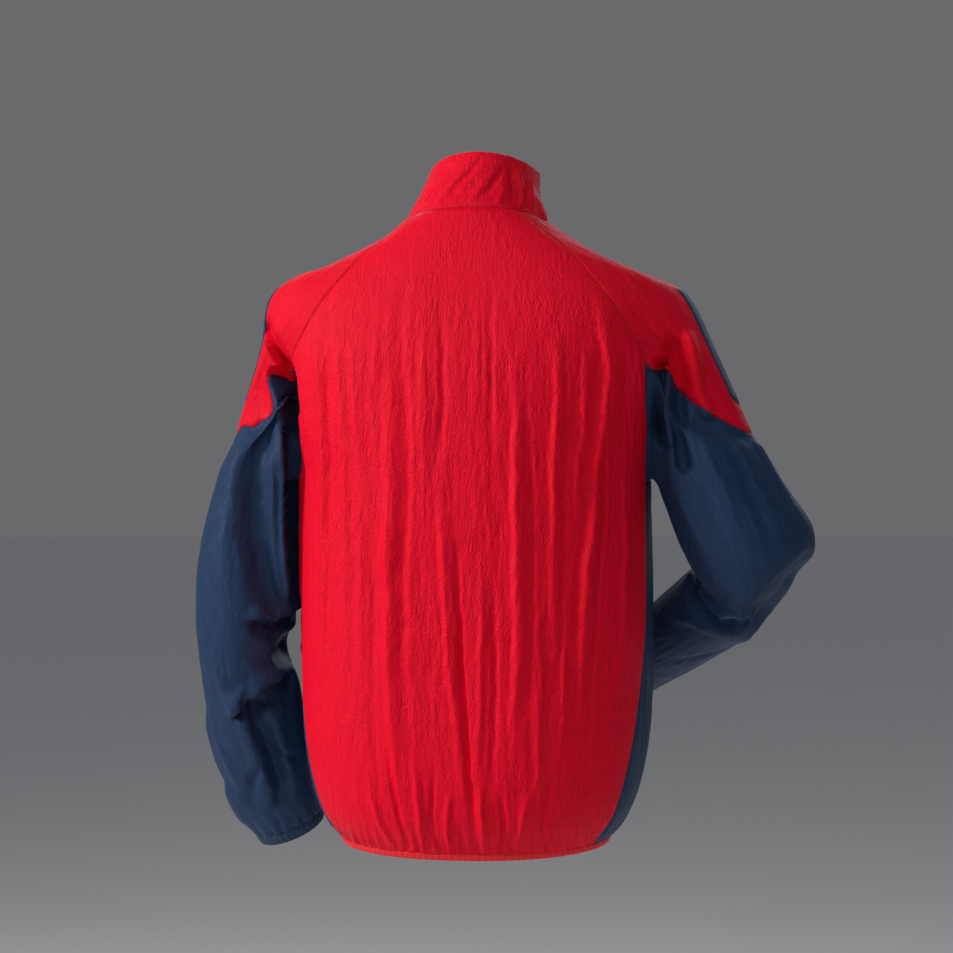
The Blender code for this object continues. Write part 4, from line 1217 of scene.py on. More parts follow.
@dataclass
class Body:
    """The back, the two fronts and the two narrow side panels, between hem and collar or underarm."""

    torso: Torso
    looks: Wardrobe
    back_columns: int = 330
    front_columns: int = 124
    side_columns: int = 56
    gathered_rows: int = 20
    upper_rows: int = 118
    gather_rise: float = 0.058
    gather_depth: float = 0.0022
    gather_spacing: float = 0.0125

    # Paths are (angle, height). The first width is the flank toward smaller angles.
    back_creases: tuple[Crease, ...] = (
        Crease(((47.5, -0.10), (44.5, -0.20), (41.0, -0.30), (41.0, -0.47)), 0.013, 0.005, 0.0032),
        Crease(((51.5, -0.10), (49.0, -0.20), (46.0, -0.30), (46.0, -0.48)), 0.005, 0.010, -0.0034),
        Crease(((57.0, -0.10), (55.0, -0.20), (53.5, -0.32), (54.5, -0.46)), 0.009, 0.006, 0.0020),
        Crease(((61.5, -0.12), (61.0, -0.30), (62.0, -0.56)), 0.010, 0.008, 0.0015),
        Crease(((72.0, -0.20), (71.3, -0.34), (72.0, -0.48), (74.0, -0.62)), 0.034, 0.008, 0.0057),
        Crease(((76.5, -0.10), (78.0, -0.24), (76.5, -0.40), (78.0, -0.58)), 0.008, 0.015, -0.0035),
        Crease(((83.0, -0.10), (83.0, -0.22), (82.0, -0.34)), 0.008, 0.007, 0.0015),
        Crease(((86.5, -0.08), (87.5, -0.18), (86.5, -0.27)), 0.006, 0.007, -0.0023),
        Crease(((86.5, -0.26), (87.8, -0.36), (89.0, -0.47), (92.0, -0.62)), 0.013, 0.006, 0.0038),
        Crease(((90.0, -0.34), (91.0, -0.46), (92.5, -0.56), (94.3, -0.65)), 0.004, 0.007, -0.0043),
        Crease(((95.3, -0.36), (95.6, -0.46), (94.8, -0.60)), 0.006, 0.005, 0.0027),
        Crease(((98.5, -0.38), (99.5, -0.48), (98.5, -0.60)), 0.005, 0.007, -0.0029),
        Crease(((96.5, -0.08), (97.0, -0.18), (98.0, -0.26)), 0.005, 0.007, -0.0019),
        Crease(((103.5, -0.16), (105.2, -0.30), (105.6, -0.44), (105.0, -0.58)), 0.024, 0.006, 0.0050),
        Crease(((106.5, -0.18), (110.0, -0.28), (110.5, -0.40), (110.0, -0.54)), 0.005, 0.014, -0.0026),
        Crease(((114.5, -0.13), (117.0, -0.22), (118.0, -0.34), (117.5, -0.46)), 0.012, 0.005, 0.0036),
        Crease(((123.0, -0.14), (122.0, -0.32), (123.0, -0.52)), 0.006, 0.009, -0.0018),
        Crease(((124.5, -0.14), (126.5, -0.23), (126.5, -0.33)), 0.009, 0.004, 0.0030),
        Crease(((129.0, -0.09), (134.5, -0.19), (134.5, -0.28), (130.5, -0.38), (128.5, -0.52)),
               0.024, 0.006, 0.0068),
        Crease(((136.5, -0.22), (139.5, -0.30), (135.5, -0.42), (133.0, -0.54)), 0.004, 0.012, -0.0022),
        Crease(((122.5, -0.37), (122.0, -0.45), (121.0, -0.56)), 0.008, 0.004, 0.0026),
        Crease(((150.0, -0.25), (151.0, -0.36), (147.0, -0.50)), 0.012, 0.005, 0.0026),
        Crease(((146.0, -0.13), (150.0, -0.17), (157.0, -0.20)), 0.006, 0.004, 0.0022),
        Crease(((140.5, -0.12), (144.0, -0.155), (150.0, -0.185)), 0.005, 0.004, 0.0018),
        Crease(((44.0, -0.20), (43.0, -0.34), (44.0, -0.56)), 0.008, 0.006, -0.0014),
        Crease(((66.5, -0.30), (66.0, -0.46), (67.0, -0.62)), 0.006, 0.007, -0.0016),
        Crease(((112.5, -0.40), (113.0, -0.52), (113.0, -0.63)), 0.008, 0.008, 0.0020),
        # Short folds that stand on the hem.
        Crease(((66.0, -0.655), (64.5, -0.625), (63.0, -0.585)), 0.006, 0.005, 0.0030),
        Crease(((73.5, -0.655), (73.0, -0.61), (71.5, -0.56)), 0.005, 0.005, -0.0034),
        Crease(((79.0, -0.655), (80.5, -0.62), (79.5, -0.57)), 0.005, 0.006, 0.0036),
        Crease(((84.5, -0.655), (84.0, -0.62), (85.5, -0.58)), 0.005, 0.005, -0.0036),
        Crease(((88.5, -0.655), (88.0, -0.63), (89.0, -0.60)), 0.004, 0.004, 0.0030),
        Crease(((98.5, -0.655), (96.5, -0.625), (95.5, -0.59)), 0.005, 0.005, 0.0040),
        Crease(((103.5, -0.655), (103.0, -0.63), (102.0, -0.60)), 0.005, 0.005, -0.0032),
        Crease(((110.0, -0.655), (109.5, -0.63), (110.5, -0.60)), 0.005, 0.006, 0.0028),
        Crease(((118.5, -0.655), (118.0, -0.625), (118.5, -0.58)), 0.006, 0.006, -0.0024),
    )
    # For the wearer's left front. The right one takes their mirror, with paths a little shifted.
    front_creases: tuple[Crease, ...] = (
        Crease(((318.0, -0.12), (316.0, -0.30), (314.0, -0.54)), 0.012, 0.009, -0.0046),
        Crease(((323.0, -0.16), (322.0, -0.34), (320.0, -0.58)), 0.010, 0.012, 0.0034),
        Crease(((309.0, -0.18), (309.5, -0.34), (308.0, -0.48)), 0.008, 0.010, -0.0026),
        Crease(((304.0, -0.20), (303.0, -0.40), (302.0, -0.62)), 0.012, 0.008, 0.0044),
        Crease(((298.0, -0.14), (297.5, -0.28), (296.0, -0.42)), 0.008, 0.008, 0.0024),
        Crease(((292.5, -0.26), (291.0, -0.42), (290.0, -0.62)), 0.009, 0.013, -0.0040),
        Crease(((284.0, -0.30), (284.5, -0.46), (283.0, -0.60)), 0.009, 0.007, 0.0026),
        Crease(((306.0, -0.09), (305.0, -0.17), (306.0, -0.26)), 0.007, 0.006, -0.0020),
        Crease(((313.5, -0.10), (312.0, -0.18), (311.5, -0.27)), 0.012, 0.006, 0.0030),
        Crease(((290.0, -0.10), (289.0, -0.20), (290.0, -0.33)), 0.010, 0.006, 0.0022),
        Crease(((332.0, -0.20), (330.0, -0.33), (328.0, -0.52)), 0.012, 0.008, 0.0036),
        Crease(((279.5, -0.16), (280.0, -0.30), (279.0, -0.45)), 0.006, 0.008, -0.0018),
        Crease(((312.0, -0.655), (312.5, -0.62), (311.5, -0.58)), 0.006, 0.006, 0.0030),
        Crease(((299.0, -0.655), (298.5, -0.62), (299.5, -0.59)), 0.006, 0.005, -0.0030),
        Crease(((287.0, -0.655), (287.5, -0.63), (287.0, -0.60)), 0.005, 0.006, 0.0028),
        Crease(((326.0, -0.655), (325.5, -0.62), (326.5, -0.57)), 0.006, 0.007, -0.0026),
    )
    side_creases: tuple[Crease, ...] = (
        Crease(((8.0, -0.31), (10.0, -0.44), (11.0, -0.60)), 0.008, 0.012, -0.0030),
        Crease(((-6.0, -0.33), (-8.0, -0.48), (-9.0, -0.62)), 0.010, 0.008, 0.0026),
        Crease(((0.0, -0.50), (2.0, -0.57), (1.0, -0.65)), 0.007, 0.009, -0.0024),
    )

    def grid(self, plan: PanelPlan) -> Cloth:
        """Lays out a panel with no creases.

        Args:
            plan: how it is made.

        Returns:
            The bare panel.
        """
        upper = round(self.upper_rows * (plan.top - HEM - self.gather_rise) / (NECK - HEM))
        near_hem = np.linspace(HEM, HEM + self.gather_rise, self.gathered_rows + 1)
        heights = np.concatenate([near_hem[:-1], np.linspace(near_hem[-1], plan.top, upper + 1)])
        angles = np.array(
            [self.torso.even(float(plan.low(h)), float(plan.high(h)), h, plan.columns) for h in heights]
        )
        points = self.torso.point(angles, heights[:, None])
        flush = frozenset((Border.LOW, Border.HIGH))
        return Cloth(
            f"{plan.name}_cloth", points, angles, heights, flush=flush, origin=plan.origin, pulls=PULLS
        )

    def gathers(self, cloth: Cloth, seed: int) -> Array:
        """Uneven gathers that the binding draws up.

        Args:
            cloth: the panel.
            seed: which random unevenness they have.

        Returns:
            The lift of each of its points.
        """
        up = (cloth.v[:, None] - HEM) + np.zeros(cloth.across.shape)
        x = cloth.across / self.gather_spacing
        wander = 0.55 * noise(x / 1.7, up / 0.05, seed)
        rise = self.gather_rise * (0.62 + 0.55 * noise(x / 1.3 + 40.0, 0.0 * x, seed + 1))
        crests = 1.0 - 2.0 * np.abs(np.sin(np.pi * (x + wander))) ** 0.9
        waves = crests * (0.85 + 0.9 * noise(x / 2.3, up / 0.03, seed + 2))
        fine = np.cos(2.0 * np.pi * (2.1 * x + 2.0 * wander)) * 0.3 * np.exp(-up / 0.012) * ease(up / 0.006)
        fade = np.clip(1.0 - up / rise, 0.0, 1.0) ** 1.5
        caught = 0.45 + 0.55 * ease(up / 0.010)
        sides = cloth.clear_of_seams(0.006, (Border.START, Border.END))
        large = waves * fade * caught * ease(up / 0.004 + 0.25)
        return self.gather_depth * (large + fine * (1.0 - ease(up / 0.03))) * sides

    def finish_panel(self, cloth: Cloth, plan: PanelPlan, seed: int) -> Cloth:
        """Raises a panel's creases, gathers and crinkle, and sews its edges.

        Args:
            cloth: the bare panel.
            plan: how it is made.
            seed: which random unevenness it has.

        Returns:
            The same panel.
        """
        clear = cloth.clear_of_seams(borders=[b for b in cloth.borders() if b is not Border.LOW])
        cloth.lift(sum(cloth.crease_lift(c, seed + 3 * i) for i, c in enumerate(plan.creases)) * clear)
        # The crinkle is weaker on the shoulders, where the cloth lies taut, and a little above the hem.
        height = cloth.v[:, None]
        strength = 0.25 + 0.75 * ease((-0.05 - height) / 0.10)
        strength = strength * (1.0 - 0.35 * ease((-0.50 - height) / 0.12))
        crinkle = plan.crinkle * strength * cloth.crinkle(seed) * clear**0.3
        cloth.lift(self.gathers(cloth, seed + 90) + crinkle)
        cloth.sew(seed)
        return cloth

    def build(self) -> dict[str, Cloth]:
        """Makes all five panels.

        Returns:
            The finished panels by their nodes' names.
        """
        t, shell = self.torso, (self.looks.red, Slot.RED)
        front, side = (self.front_columns, NECK), (self.side_columns, UNDERARM)
        front_cut = Cut(0.21, 0.67, 0.100, Held.HUNG, ("collar",))
        plans = (
            PanelPlan(
                "back", t.back_seam, lambda h: 180.0 - t.back_seam(h), self.back_columns, NECK, 0.5,
                self.back_creases, *shell, crinkle=0.00052,
                cut=Cut(0.46, 0.67, 0.272, Held.HUNG, ("collar",)),
            ),
            PanelPlan(
                "front_left", lambda h: FRONT + t.zip_half(h), lambda h: 360.0 + t.front_seam(h), *front, 0.0,
                self.front_creases, *shell, crinkle=0.00046, cut=front_cut,
            ),
            PanelPlan(
                "front_right", lambda h: 180.0 - t.front_seam(h), lambda h: FRONT - t.zip_half(h),
                *front, 1.0,
                mirrored(self.front_creases, 540.0, (0.8, -0.012)), *shell, crinkle=0.00046, cut=front_cut,
            ),
            PanelPlan(
                "side_left", t.front_seam, t.back_seam, *side, 0.5,
                self.side_creases, self.looks.navy, Slot.NAVY, crinkle=0.00022,
                cut=Cut(0.17, 0.39, 0.052, Held.HUNG, ("sleeve_left",)),
            ),
            PanelPlan(
                "side_right", lambda h: 180.0 - t.back_seam(h), lambda h: 180.0 - t.front_seam(h), *side, 0.5,
                mirrored(self.side_creases, 180.0, (0.0, 0.01)), self.looks.navy, Slot.NAVY, crinkle=0.00022,
                cut=Cut(0.17, 0.39, 0.052, Held.HUNG, ("sleeve_right",)),
            ),
        )
        panels = {}
        for number, plan in enumerate(plans):
            panel = self.finish_panel(self.grid(plan), plan, 100 * number + 17)
            dress(panel.build(plan.material), [plan.name])
            panels[plan.name] = panel
        return panels


# ---- the collar ----
class CollarRing(NamedTuple):
    """A ring of the collar, from its seam, at share 0, to its top edge, at share 1."""

    share: float
    half_width: float
    back: float
    front: float
    lean_x: float
    lean_y: float
    height: float
    back_rise: float
    front_drop: float


@dataclass
class StandCollar:
    """A tall stand collar of doubled nylon, folded over at its top edge and open at the zip."""

    torso: Torso
    looks: Wardrobe
    doubled: float = 0.0022
    columns: int = 210
    outer_rows: int = 30
    fold_rows: int = 6
    inner_rows: int = 14
    square: float = 2.2
    square_loss: float = 0.2
    rings: tuple[CollarRing, ...] = (
        CollarRing(0.00, 0.0770, 0.0680, 0.074, 0.0000, 0.000, 0.0000, 0.010, 0.050),
        CollarRing(0.30, 0.0690, 0.0650, 0.070, -0.0010, -0.007, 0.0160, 0.011, 0.040),
        CollarRing(0.65, 0.0625, 0.0625, 0.066, -0.0035, -0.016, 0.0360, 0.013, 0.029),
        CollarRing(1.00, 0.0590, 0.0600, 0.062, -0.0060, -0.024, 0.0540, 0.017, 0.022),
    )
    # Paths are (angle, share). Angles run from the zip over the left, the back and the right.
    creases: tuple[Crease, ...] = (
        Crease(((50.0, 0.20), (52.0, 0.34), (50.0, 0.50)), 0.003, 0.004, -0.0024),
        Crease(((64.0, 0.10), (72.0, 0.40), (84.0, 0.72)), 0.006, 0.005, 0.0018),
        Crease(((72.0, 0.18), (82.0, 0.50), (96.0, 0.86)), 0.005, 0.006, -0.0018),
        Crease(((90.0, 0.08), (97.0, 0.30), (104.0, 0.56)), 0.004, 0.005, 0.0015),
        Crease(((104.0, 0.20), (112.0, 0.52), (118.0, 0.82)), 0.005, 0.006, -0.0019),
        Crease(((112.0, 0.05), (118.0, 0.28), (120.0, 0.50)), 0.005, 0.005, 0.0016),
        Crease(((126.0, 0.10), (131.0, 0.45), (126.0, 0.90)), 0.006, 0.005, -0.0030),
        Crease(((134.0, 0.04), (139.0, 0.36), (134.0, 0.92)), 0.004, 0.005, 0.0033),
        Crease(((146.0, 0.02), (144.0, 0.30), (149.0, 0.70)), 0.004, 0.005, -0.0027),
        Crease(((156.0, 0.05), (154.0, 0.35), (160.0, 0.80)), 0.005, 0.004, 0.0024),
        Crease(((30.0, 0.05), (33.0, 0.45), (30.0, 0.85)), 0.006, 0.006, -0.0019),
        Crease(((5.0, 0.10), (8.0, 0.50), (4.0, 0.90)), 0.007, 0.006, 0.0018),
        Crease(((-35.0, 0.05), (-32.0, 0.45), (-36.0, 0.85)), 0.006, 0.006, -0.0018),
        Crease(((205.0, 0.05), (208.0, 0.50), (204.0, 0.85)), 0.007, 0.006, 0.0019),
        Crease(((228.0, 0.10), (225.0, 0.45), (229.0, 0.85)), 0.006, 0.007, -0.0018),
    )

    def point(self, angle: Array, share: Array) -> Array:
        """Points of the collar's outer face.

        Args:
            angle: angles round the collar, in degrees.
            share: shares of its height.

        Returns:
            The points.
        """
        angle, share = np.broadcast_arrays(np.asarray(angle, float), np.asarray(share, float))
        ring = np.moveaxis(smooth(self.rings, share), -1, 0)
        _, half_width, back, front, lean_x, lean_y, height, rise, drop = ring
        square = self.square - self.square_loss * share
        x, y, tilt = ring_point(angle, (half_width, back, front), square, (rise, drop))
        return np.stack([lean_x + x, lean_y + y, height + tilt], -1)

    def zip_half(self, share: Array) -> Array:
        """Half the collar's opening, which is as wide as the zip's tape.

        Args:
            share: shares of the collar's height.

        Returns:
            Angles in degrees.
        """
        half_width = smooth(self.rings, share)[..., 1]
        square = self.square - self.square_loss * np.asarray(share)
        return np.degrees(np.arcsin((self.torso.zip_width / 2 / half_width) ** (square / 2.0)))

    def build(self) -> Cloth:
        """Makes the collar as one piece that is folded over at the top.

        Returns:
            Its outer face, up to the fold.
        """
        half = self.zip_half(0.0)
        seam = self.torso.even(FRONT - 360.0 + half, FRONT - half, NECK, self.columns)
        shares = np.linspace(0.0, 1.0, self.outer_rows + 1)
        halves = self.zip_half(shares)[:, None]
        spread = (seam - seam[0]) / (seam[-1] - seam[0])
        angles = (FRONT - 360.0 + halves) * (1.0 - spread) + (FRONT - halves) * spread
        points = self.point(angles, shares[:, None])
        points[0] = self.torso.point(angles[0], NECK)
        sewn = frozenset((Border.LOW, Border.START, Border.END))
        outer = Cloth("collar_outer", points, angles, shares, sewn, frozenset((Border.LOW,)), pulls=PULLS)
        clear = outer.clear_of_seams(0.010)
        rise = sum(outer.crease_lift(c, 500 + i) for i, c in enumerate(self.creases)) * clear
        outer.lift(rise + 0.00050 * outer.crinkle(520, 0.0060, 0.012) * clear)
        outer.sew(530)
        normals = outer.normals()
        rolled = [outer.points]
        radius = self.doubled / 2.0
        up = unit(outer.points[-1] - outer.points[-3])
        for k in range(1, self.fold_rows):
            turn = math.pi * k / self.fold_rows
            shift = -normals[-1] * radius * (1.0 - math.cos(turn)) + up * radius * math.sin(turn)
            rolled.append((outer.points[-1] + shift)[None])
        down = np.linspace(1.0, 0.06, self.inner_rows)
        rows = down * self.outer_rows
        low = np.floor(rows).astype(int)
        part = (rows - low)[:, None, None]
        high = np.minimum(low + 1, self.outer_rows)
        face = outer.points - normals * self.doubled
        rolled.append(face[low] * (1.0 - part) + face[high] * part)
        grid = np.concatenate(rolled)
        places = np.concatenate([shares, np.linspace(1.01, 2.0, len(grid) - len(shares))])
        columns = np.concatenate([angles, np.repeat(angles[-1:], len(grid) - len(angles), axis=0)])
        whole = Cloth("collar_cloth", grid, columns, places, frozenset((Border.LOW,)))
        dress(rolled_object(whole, self.looks.red, len(shares) // 2), ["collar"])
        return outer


# ---- elastic bindings ----
@dataclass
class Binding:
    """A strip folded round elastic: an outer face, a rounded free edge and an inner face, all puckered."""

    name: str
    node: str
    material: bpy.types.Material
    slot: Slot
    doubled: float
    cut: Cut
    pucker: float = 0.0046
    pucker_height: float = 0.00018
    face_rows: int = 6
    edge_rows: int = 5

    def build(self, seam: Array, free: Array, normals: Array, closed: bool, seed: int) -> None:
        """Makes the binding between its seam and its free edge.

        Args:
            seam: points of its outer face at the seam.
            free: points of its outer face at the free edge.
            normals: outward normals along it.
            closed: whether it goes all the way round.
            seed: which random unevenness it has.
        """
        down = unit(free - seam)
        length = np.linalg.norm(free - seam, axis=1, keepdims=True)
        radius = self.doubled / 2.0
        profile = []
        for k in range(self.face_rows + 1):
            s = k / self.face_rows
            at_seam = (1.0 - s) ** 6
            profile.append((s, 0.0003 + 0.0003 * math.sin(math.pi * s) - 0.0004 * at_seam, -0.0008 * at_seam))
        for k in range(1, self.edge_rows):
            turn = math.pi * k / self.edge_rows
            profile.append((1.0, radius * (math.cos(turn) - 1.0), radius * math.sin(turn)))
        for k in range(self.face_rows + 1):
            profile.append((1.0 - k / self.face_rows, -self.doubled, 0.0))
        run = lengths_along(seam)
        x = run / self.pucker
        wave = np.cos(2.0 * np.pi * (x + 0.5 * noise(x / 1.9, 0.0 * x, seed)))
        wave = (wave * (0.8 + 0.7 * noise(x / 3.1, 0.0 * x, seed + 1)))[:, None]
        rows = []
        shrink = length - radius
        for s, out, beyond in profile:
            puckered = self.pucker_height * wave * (0.35 + 0.65 * math.sin(math.pi * min(s, 0.75)))
            rows.append(seam + down * (shrink * s + beyond) + normals * (out + puckered))
        grid = np.array(rows)
        cloth = Cloth(
            self.name, grid, np.repeat(run[None], len(grid), 0), np.arange(len(grid)), frozenset(), closed
        )
        dress(rolled_object(cloth, self.material, 1), [self.node])


# ---- the sleeves ----
class ArmSection(NamedTuple):
    """A section of a sleeve: its centre and its reach outward, inward, back and forward."""

    x: float
    y: float
    z: float
    outer: float
    inner: float
    back: float
    front: float


@dataclass
class Sleeve:
    """A raglan sleeve: the red yoke with its navy band, the navy sleeve and its elastic cuff.

    Round a sleeve, angle 0 is outward, 90 to the back and 180 inward.
    """

    side: Side
    torso: Torso
    looks: Wardrobe
    sections: tuple[ArmSection, ...]
    top: tuple[tuple[float, float, float], ...]
    yoke_creases: tuple[Crease, ...]
    arm_creases: tuple[Crease, ...]
    cuts: dict[str, Cut]
    yoke_columns: int = 108
    yoke_rows: int = 62
    seam_columns: int = 36
    under_columns: int = 22
    shoulder_rows: int = 44
    arm_rows: int = 104
    slant: float = 1.1
    yoke_handle: float = 0.38
    sleeve_handle: float = 0.42
    corner_above: float = 0.075
    corner_below: float = 0.090
    gather_count: int = 19
    gather_depth: float = 0.0014
    cuff_columns: int = 150
    cuff_depth: float = 0.012
    cuff_doubled: float = 0.0026
    band_share: float = 0.25
    band_top: float = -0.066
    band_low: float = -0.135
    seed: int = 0

    def __post_init__(self) -> None:
        """Works out the tables of the sleeve's form."""
        centres = np.array(self.sections)[:, :3]
        run = lengths_along(centres)
        grade = unit(np.gradient(centres, axis=0))
        outward = np.array([float(self.side.value), 0.0, 0.0])
        rows = []
        for share, section, tangent in zip(run / run[-1], self.sections, grade):
            outward = unit(outward - tangent * float(outward @ tangent))
            backward = np.cross(tangent, outward) * -self.side.value
            if not rows and backward[1] < 0:
                backward = -backward
            backward = backward * (1.0 if backward[1] > 0 else -1.0)
            rows.append([share, *section, *outward, *backward])
        self.table = np.array(rows)
        top = np.array(self.top)
        self.top_line = np.column_stack([lengths_along(top) / lengths_along(top)[-1], top])
        self.heights = np.linspace(NECK, YOKE_CORNER, 60)
        line = self.torso.point(self.torso.back_seam(self.heights), self.heights)
        self.seam_shares = lengths_along(line) / lengths_along(line)[-1]

    def seam_place(self, front: bool, height: float) -> tuple[float, Array, Array]:
        """A place on a raglan seam.

        Args:
            front: whether it is the front seam.
            height: on the body.

        Returns:
            Its angle, the cloth's normal and the way across toward the sleeve.
        """
        seam = self.torso.front_seam if front else self.torso.back_seam
        height = min(height, NECK - 0.0015)
        angle = float(self.side.turned(seam(height)))
        normal = self.torso.normal(angle, height)
        ends = [self.torso.point(self.side.turned(seam(h)), h) for h in (height - 0.001, height + 0.001)]
        across = unit(np.cross(normal, ends[0] - ends[1]))
        outward = self.torso.point(self.side.turned(0.0), height) - self.torso.point(angle, height)
        return angle, normal, across * math.copysign(1.0, float(across @ outward))

    def yoke_row(self, height: float, count: int) -> Array:
        """A row of the yoke from the back seam over the shoulder to the front seam.

        Args:
            height: of its ends on the body.
            count: how many columns it has.

        Returns:
            Its points.
        """
        if height >= NECK:
            turns = self.torso.even(self.torso.back_seam(NECK), self.torso.front_seam(NECK), NECK, count)
            return self.torso.point(self.side.turned(turns), NECK)
        share = float(np.interp(-height, -self.heights, self.seam_shares))
        top = smooth(self.top_line, share)[1:4]
        ends = []
        for front in (False, True):
            angle, normal, across = self.seam_place(front, height)
            down = np.cross(across, normal)
            down = down * math.copysign(self.slant * share**2, -down[2])
            ends.append((self.torso.point(angle, height), unit(across + down)))
        ahead, shares = np.array([0.0, -1.0, 0.0]), np.linspace(0.0, 1.0, 48)
        behind = bezier(ends[0][0], ends[0][1], top, -ahead, shares, self.yoke_handle)
        before = bezier(top, ahead, ends[1][0], ends[1][1], shares, self.yoke_handle)
        return resample(np.vstack([behind, before[1:]]), count)

    @staticmethod
    def fanned(point: Array, way: Array, corners: Sequence[tuple[Array, Array]], spread: float) -> Array:
        """Turns a way into the middle of the cloth's corner as the point nears it.

        Args:
            point: the point.
            way: the way at that point.
            corners: each corner's point and its middle way.
            spread: how far a corner's turn reaches, in metres.

        Returns:
            The turned way, of length one.
        """
        for corner, wedge in corners:
            near = 1.0 - min(float(np.linalg.norm(point - corner)) / spread, 1.0)
            way = way * (1.0 - near) + wedge * near
        return unit(way)

    def opening(self) -> tuple[Array, Array]:
        """The navy sleeve's upper edge: the yoke's lower edge, then the seams below it.

        Returns:
            Its points, and the ways in which the cloth leaves them.
        """
        edge = self.yoke_row(YOKE_CORNER, self.yoke_columns)
        above = self.yoke_row(YOKE_CORNER + 0.006, self.yoke_columns)
        seam_heights = np.linspace(YOKE_CORNER, UNDERARM, self.seam_columns + 1)[1:]
        back, front = float(self.torso.back_seam(UNDERARM)), float(self.torso.front_seam(UNDERARM))
        spots = [(float(self.torso.front_seam(h)), h, True) for h in seam_heights]
        under = self.torso.even(front, back, UNDERARM, self.under_columns)[1:-1]
        spots += [(a, UNDERARM, None) for a in under]
        spots += [(float(self.torso.back_seam(h)), h, False) for h in seam_heights[::-1]]
        lower = np.array([self.torso.point(self.side.turned(a), h) for a, h, _ in spots])
        first_wedge = unit(unit(edge[4] - edge[0]) + unit(lower[-4] - edge[0]))
        last_wedge = unit(unit(edge[-5] - edge[-1]) + unit(lower[3] - edge[-1]))
        corners = ((edge[0], first_wedge), (edge[-1], last_wedge))
        ways = [self.fanned(p, unit(p - o), corners, self.corner_above) for p, o in zip(edge, above)]
        for point, (_, height, front_side) in zip(lower, spots):
            way = np.array([0.25 * self.side.value, 0.0, 1.0])
            if front_side is not None:
                across = self.seam_place(front_side, height)[2]
                depth = (YOKE_CORNER - height) / (YOKE_CORNER - UNDERARM)
                way = 0.5 * across + np.array([0.5 * self.side.value, 0.0, 0.9 * depth**4])
            ways.append(self.fanned(point, unit(way), corners, self.corner_below))
        return np.vstack([edge, lower]), np.array(ways)

    def arm_point(self, share: Array, angle: Array) -> Array:
        """Points of the bare sleeve below its first section.

        Args:
            share: shares of its length.
            angle: angles round it, in degrees.

        Returns:
            The points.
        """
        row = smooth(self.table, share)
        centre, outward, backward = row[..., 1:4], unit(row[..., 8:11]), unit(row[..., 11:14])
        cosine, sine = np.cos(np.radians(angle)), np.sin(np.radians(angle))
        across = cosine * np.where(cosine > 0, row[..., 4], row[..., 5])
        deep = sine * np.where(sine > 0, row[..., 6], row[..., 7])
        return centre + outward * across[..., None] + backward * deep[..., None]

    def build_yoke(self) -> Cloth:
        """Makes the red yoke.

        Returns:
            The finished yoke.
        """
        heights = np.linspace(YOKE_CORNER, NECK, self.yoke_rows + 1)
        points = np.array([self.yoke_row(h, self.yoke_columns) for h in heights])
        shares = np.repeat(np.linspace(0.0, 1.0, self.yoke_columns + 1)[None], len(points), axis=0)
        name, flush = f"yoke_{self.side.word}", frozenset((Border.HIGH,))
        yoke = Cloth(f"{name}_cloth", points, shares, heights, flush=flush, pulls=PULLS)
        clear = yoke.clear_of_seams()
        creases = sum(yoke.crease_lift(c, self.seed + 5 * i) for i, c in enumerate(self.yoke_creases))
        smooth_top = 0.35 + 0.65 * ease(np.abs(yoke.u - 0.5) / 0.30)
        yoke.lift(creases * clear + 0.0004 * yoke.crinkle(self.seed + 1) * smooth_top * clear)
        yoke.sew(self.seed + 2)
        dress(yoke.build(self.looks.red), [name])
        return yoke

    def build_arm(self) -> Cloth:
        """Makes the navy sleeve.

        Returns:
            The finished sleeve.
        """
        edge, ways = self.opening()
        loop = np.vstack([edge, edge[:1]])
        start = lengths_along(loop)
        turned = (start[self.yoke_columns // 2] - start[:-1]) / start[-1] * 360.0
        turned = np.mod(turned + 180.0, 360.0) - 180.0
        order = np.argsort(turned)
        edge, ways, turned = edge[order], ways[order], turned[order]
        meets = self.arm_point(np.zeros(len(turned)), turned)
        arrives = unit(self.arm_point(np.full(len(turned), 0.03), turned) - meets)
        shares = np.linspace(0.0, 1.0, self.shoulder_rows + 1)[:-1]
        upper = bezier(edge, ways, meets, -arrives, shares, self.sleeve_handle)
        down = np.linspace(0.0, 1.0, self.arm_rows + 1)
        lower = self.arm_point(down[:, None] + 0.0 * turned, turned + 0.0 * down[:, None])
        places = np.concatenate([shares - 1.0, down])
        grid = np.concatenate([upper, lower])
        columns = np.repeat(turned[None], len(grid), axis=0)
        name = f"sleeve_{self.side.word}"
        arm = Cloth(f"{name}_cloth", grid, columns, places, closed=True, pulls=PULLS)
        clear = arm.clear_of_seams(borders=(Border.LOW,))
        lifted = sum(arm.crease_lift(c, self.seed + 7 * i) for i, c in enumerate(self.arm_creases))
        arm.lift(lifted * clear)
        arm.lift(self.gathers(arm) + 0.00042 * arm.crinkle(self.seed + 3, 0.0080, 0.042) * clear)
        other_way = arm.girth[:, None] + arm.across[:, :1] - arm.across
        under = np.minimum(arm.border_distance(Border.START), other_way)
        arm.lift(-SEAM_DEPTH * np.exp(-((under / SEAM_ROLL) ** 2)) * clear)
        arm.sew(self.seed + 4)
        dress(arm.build(self.looks.navy), [name])
        return arm

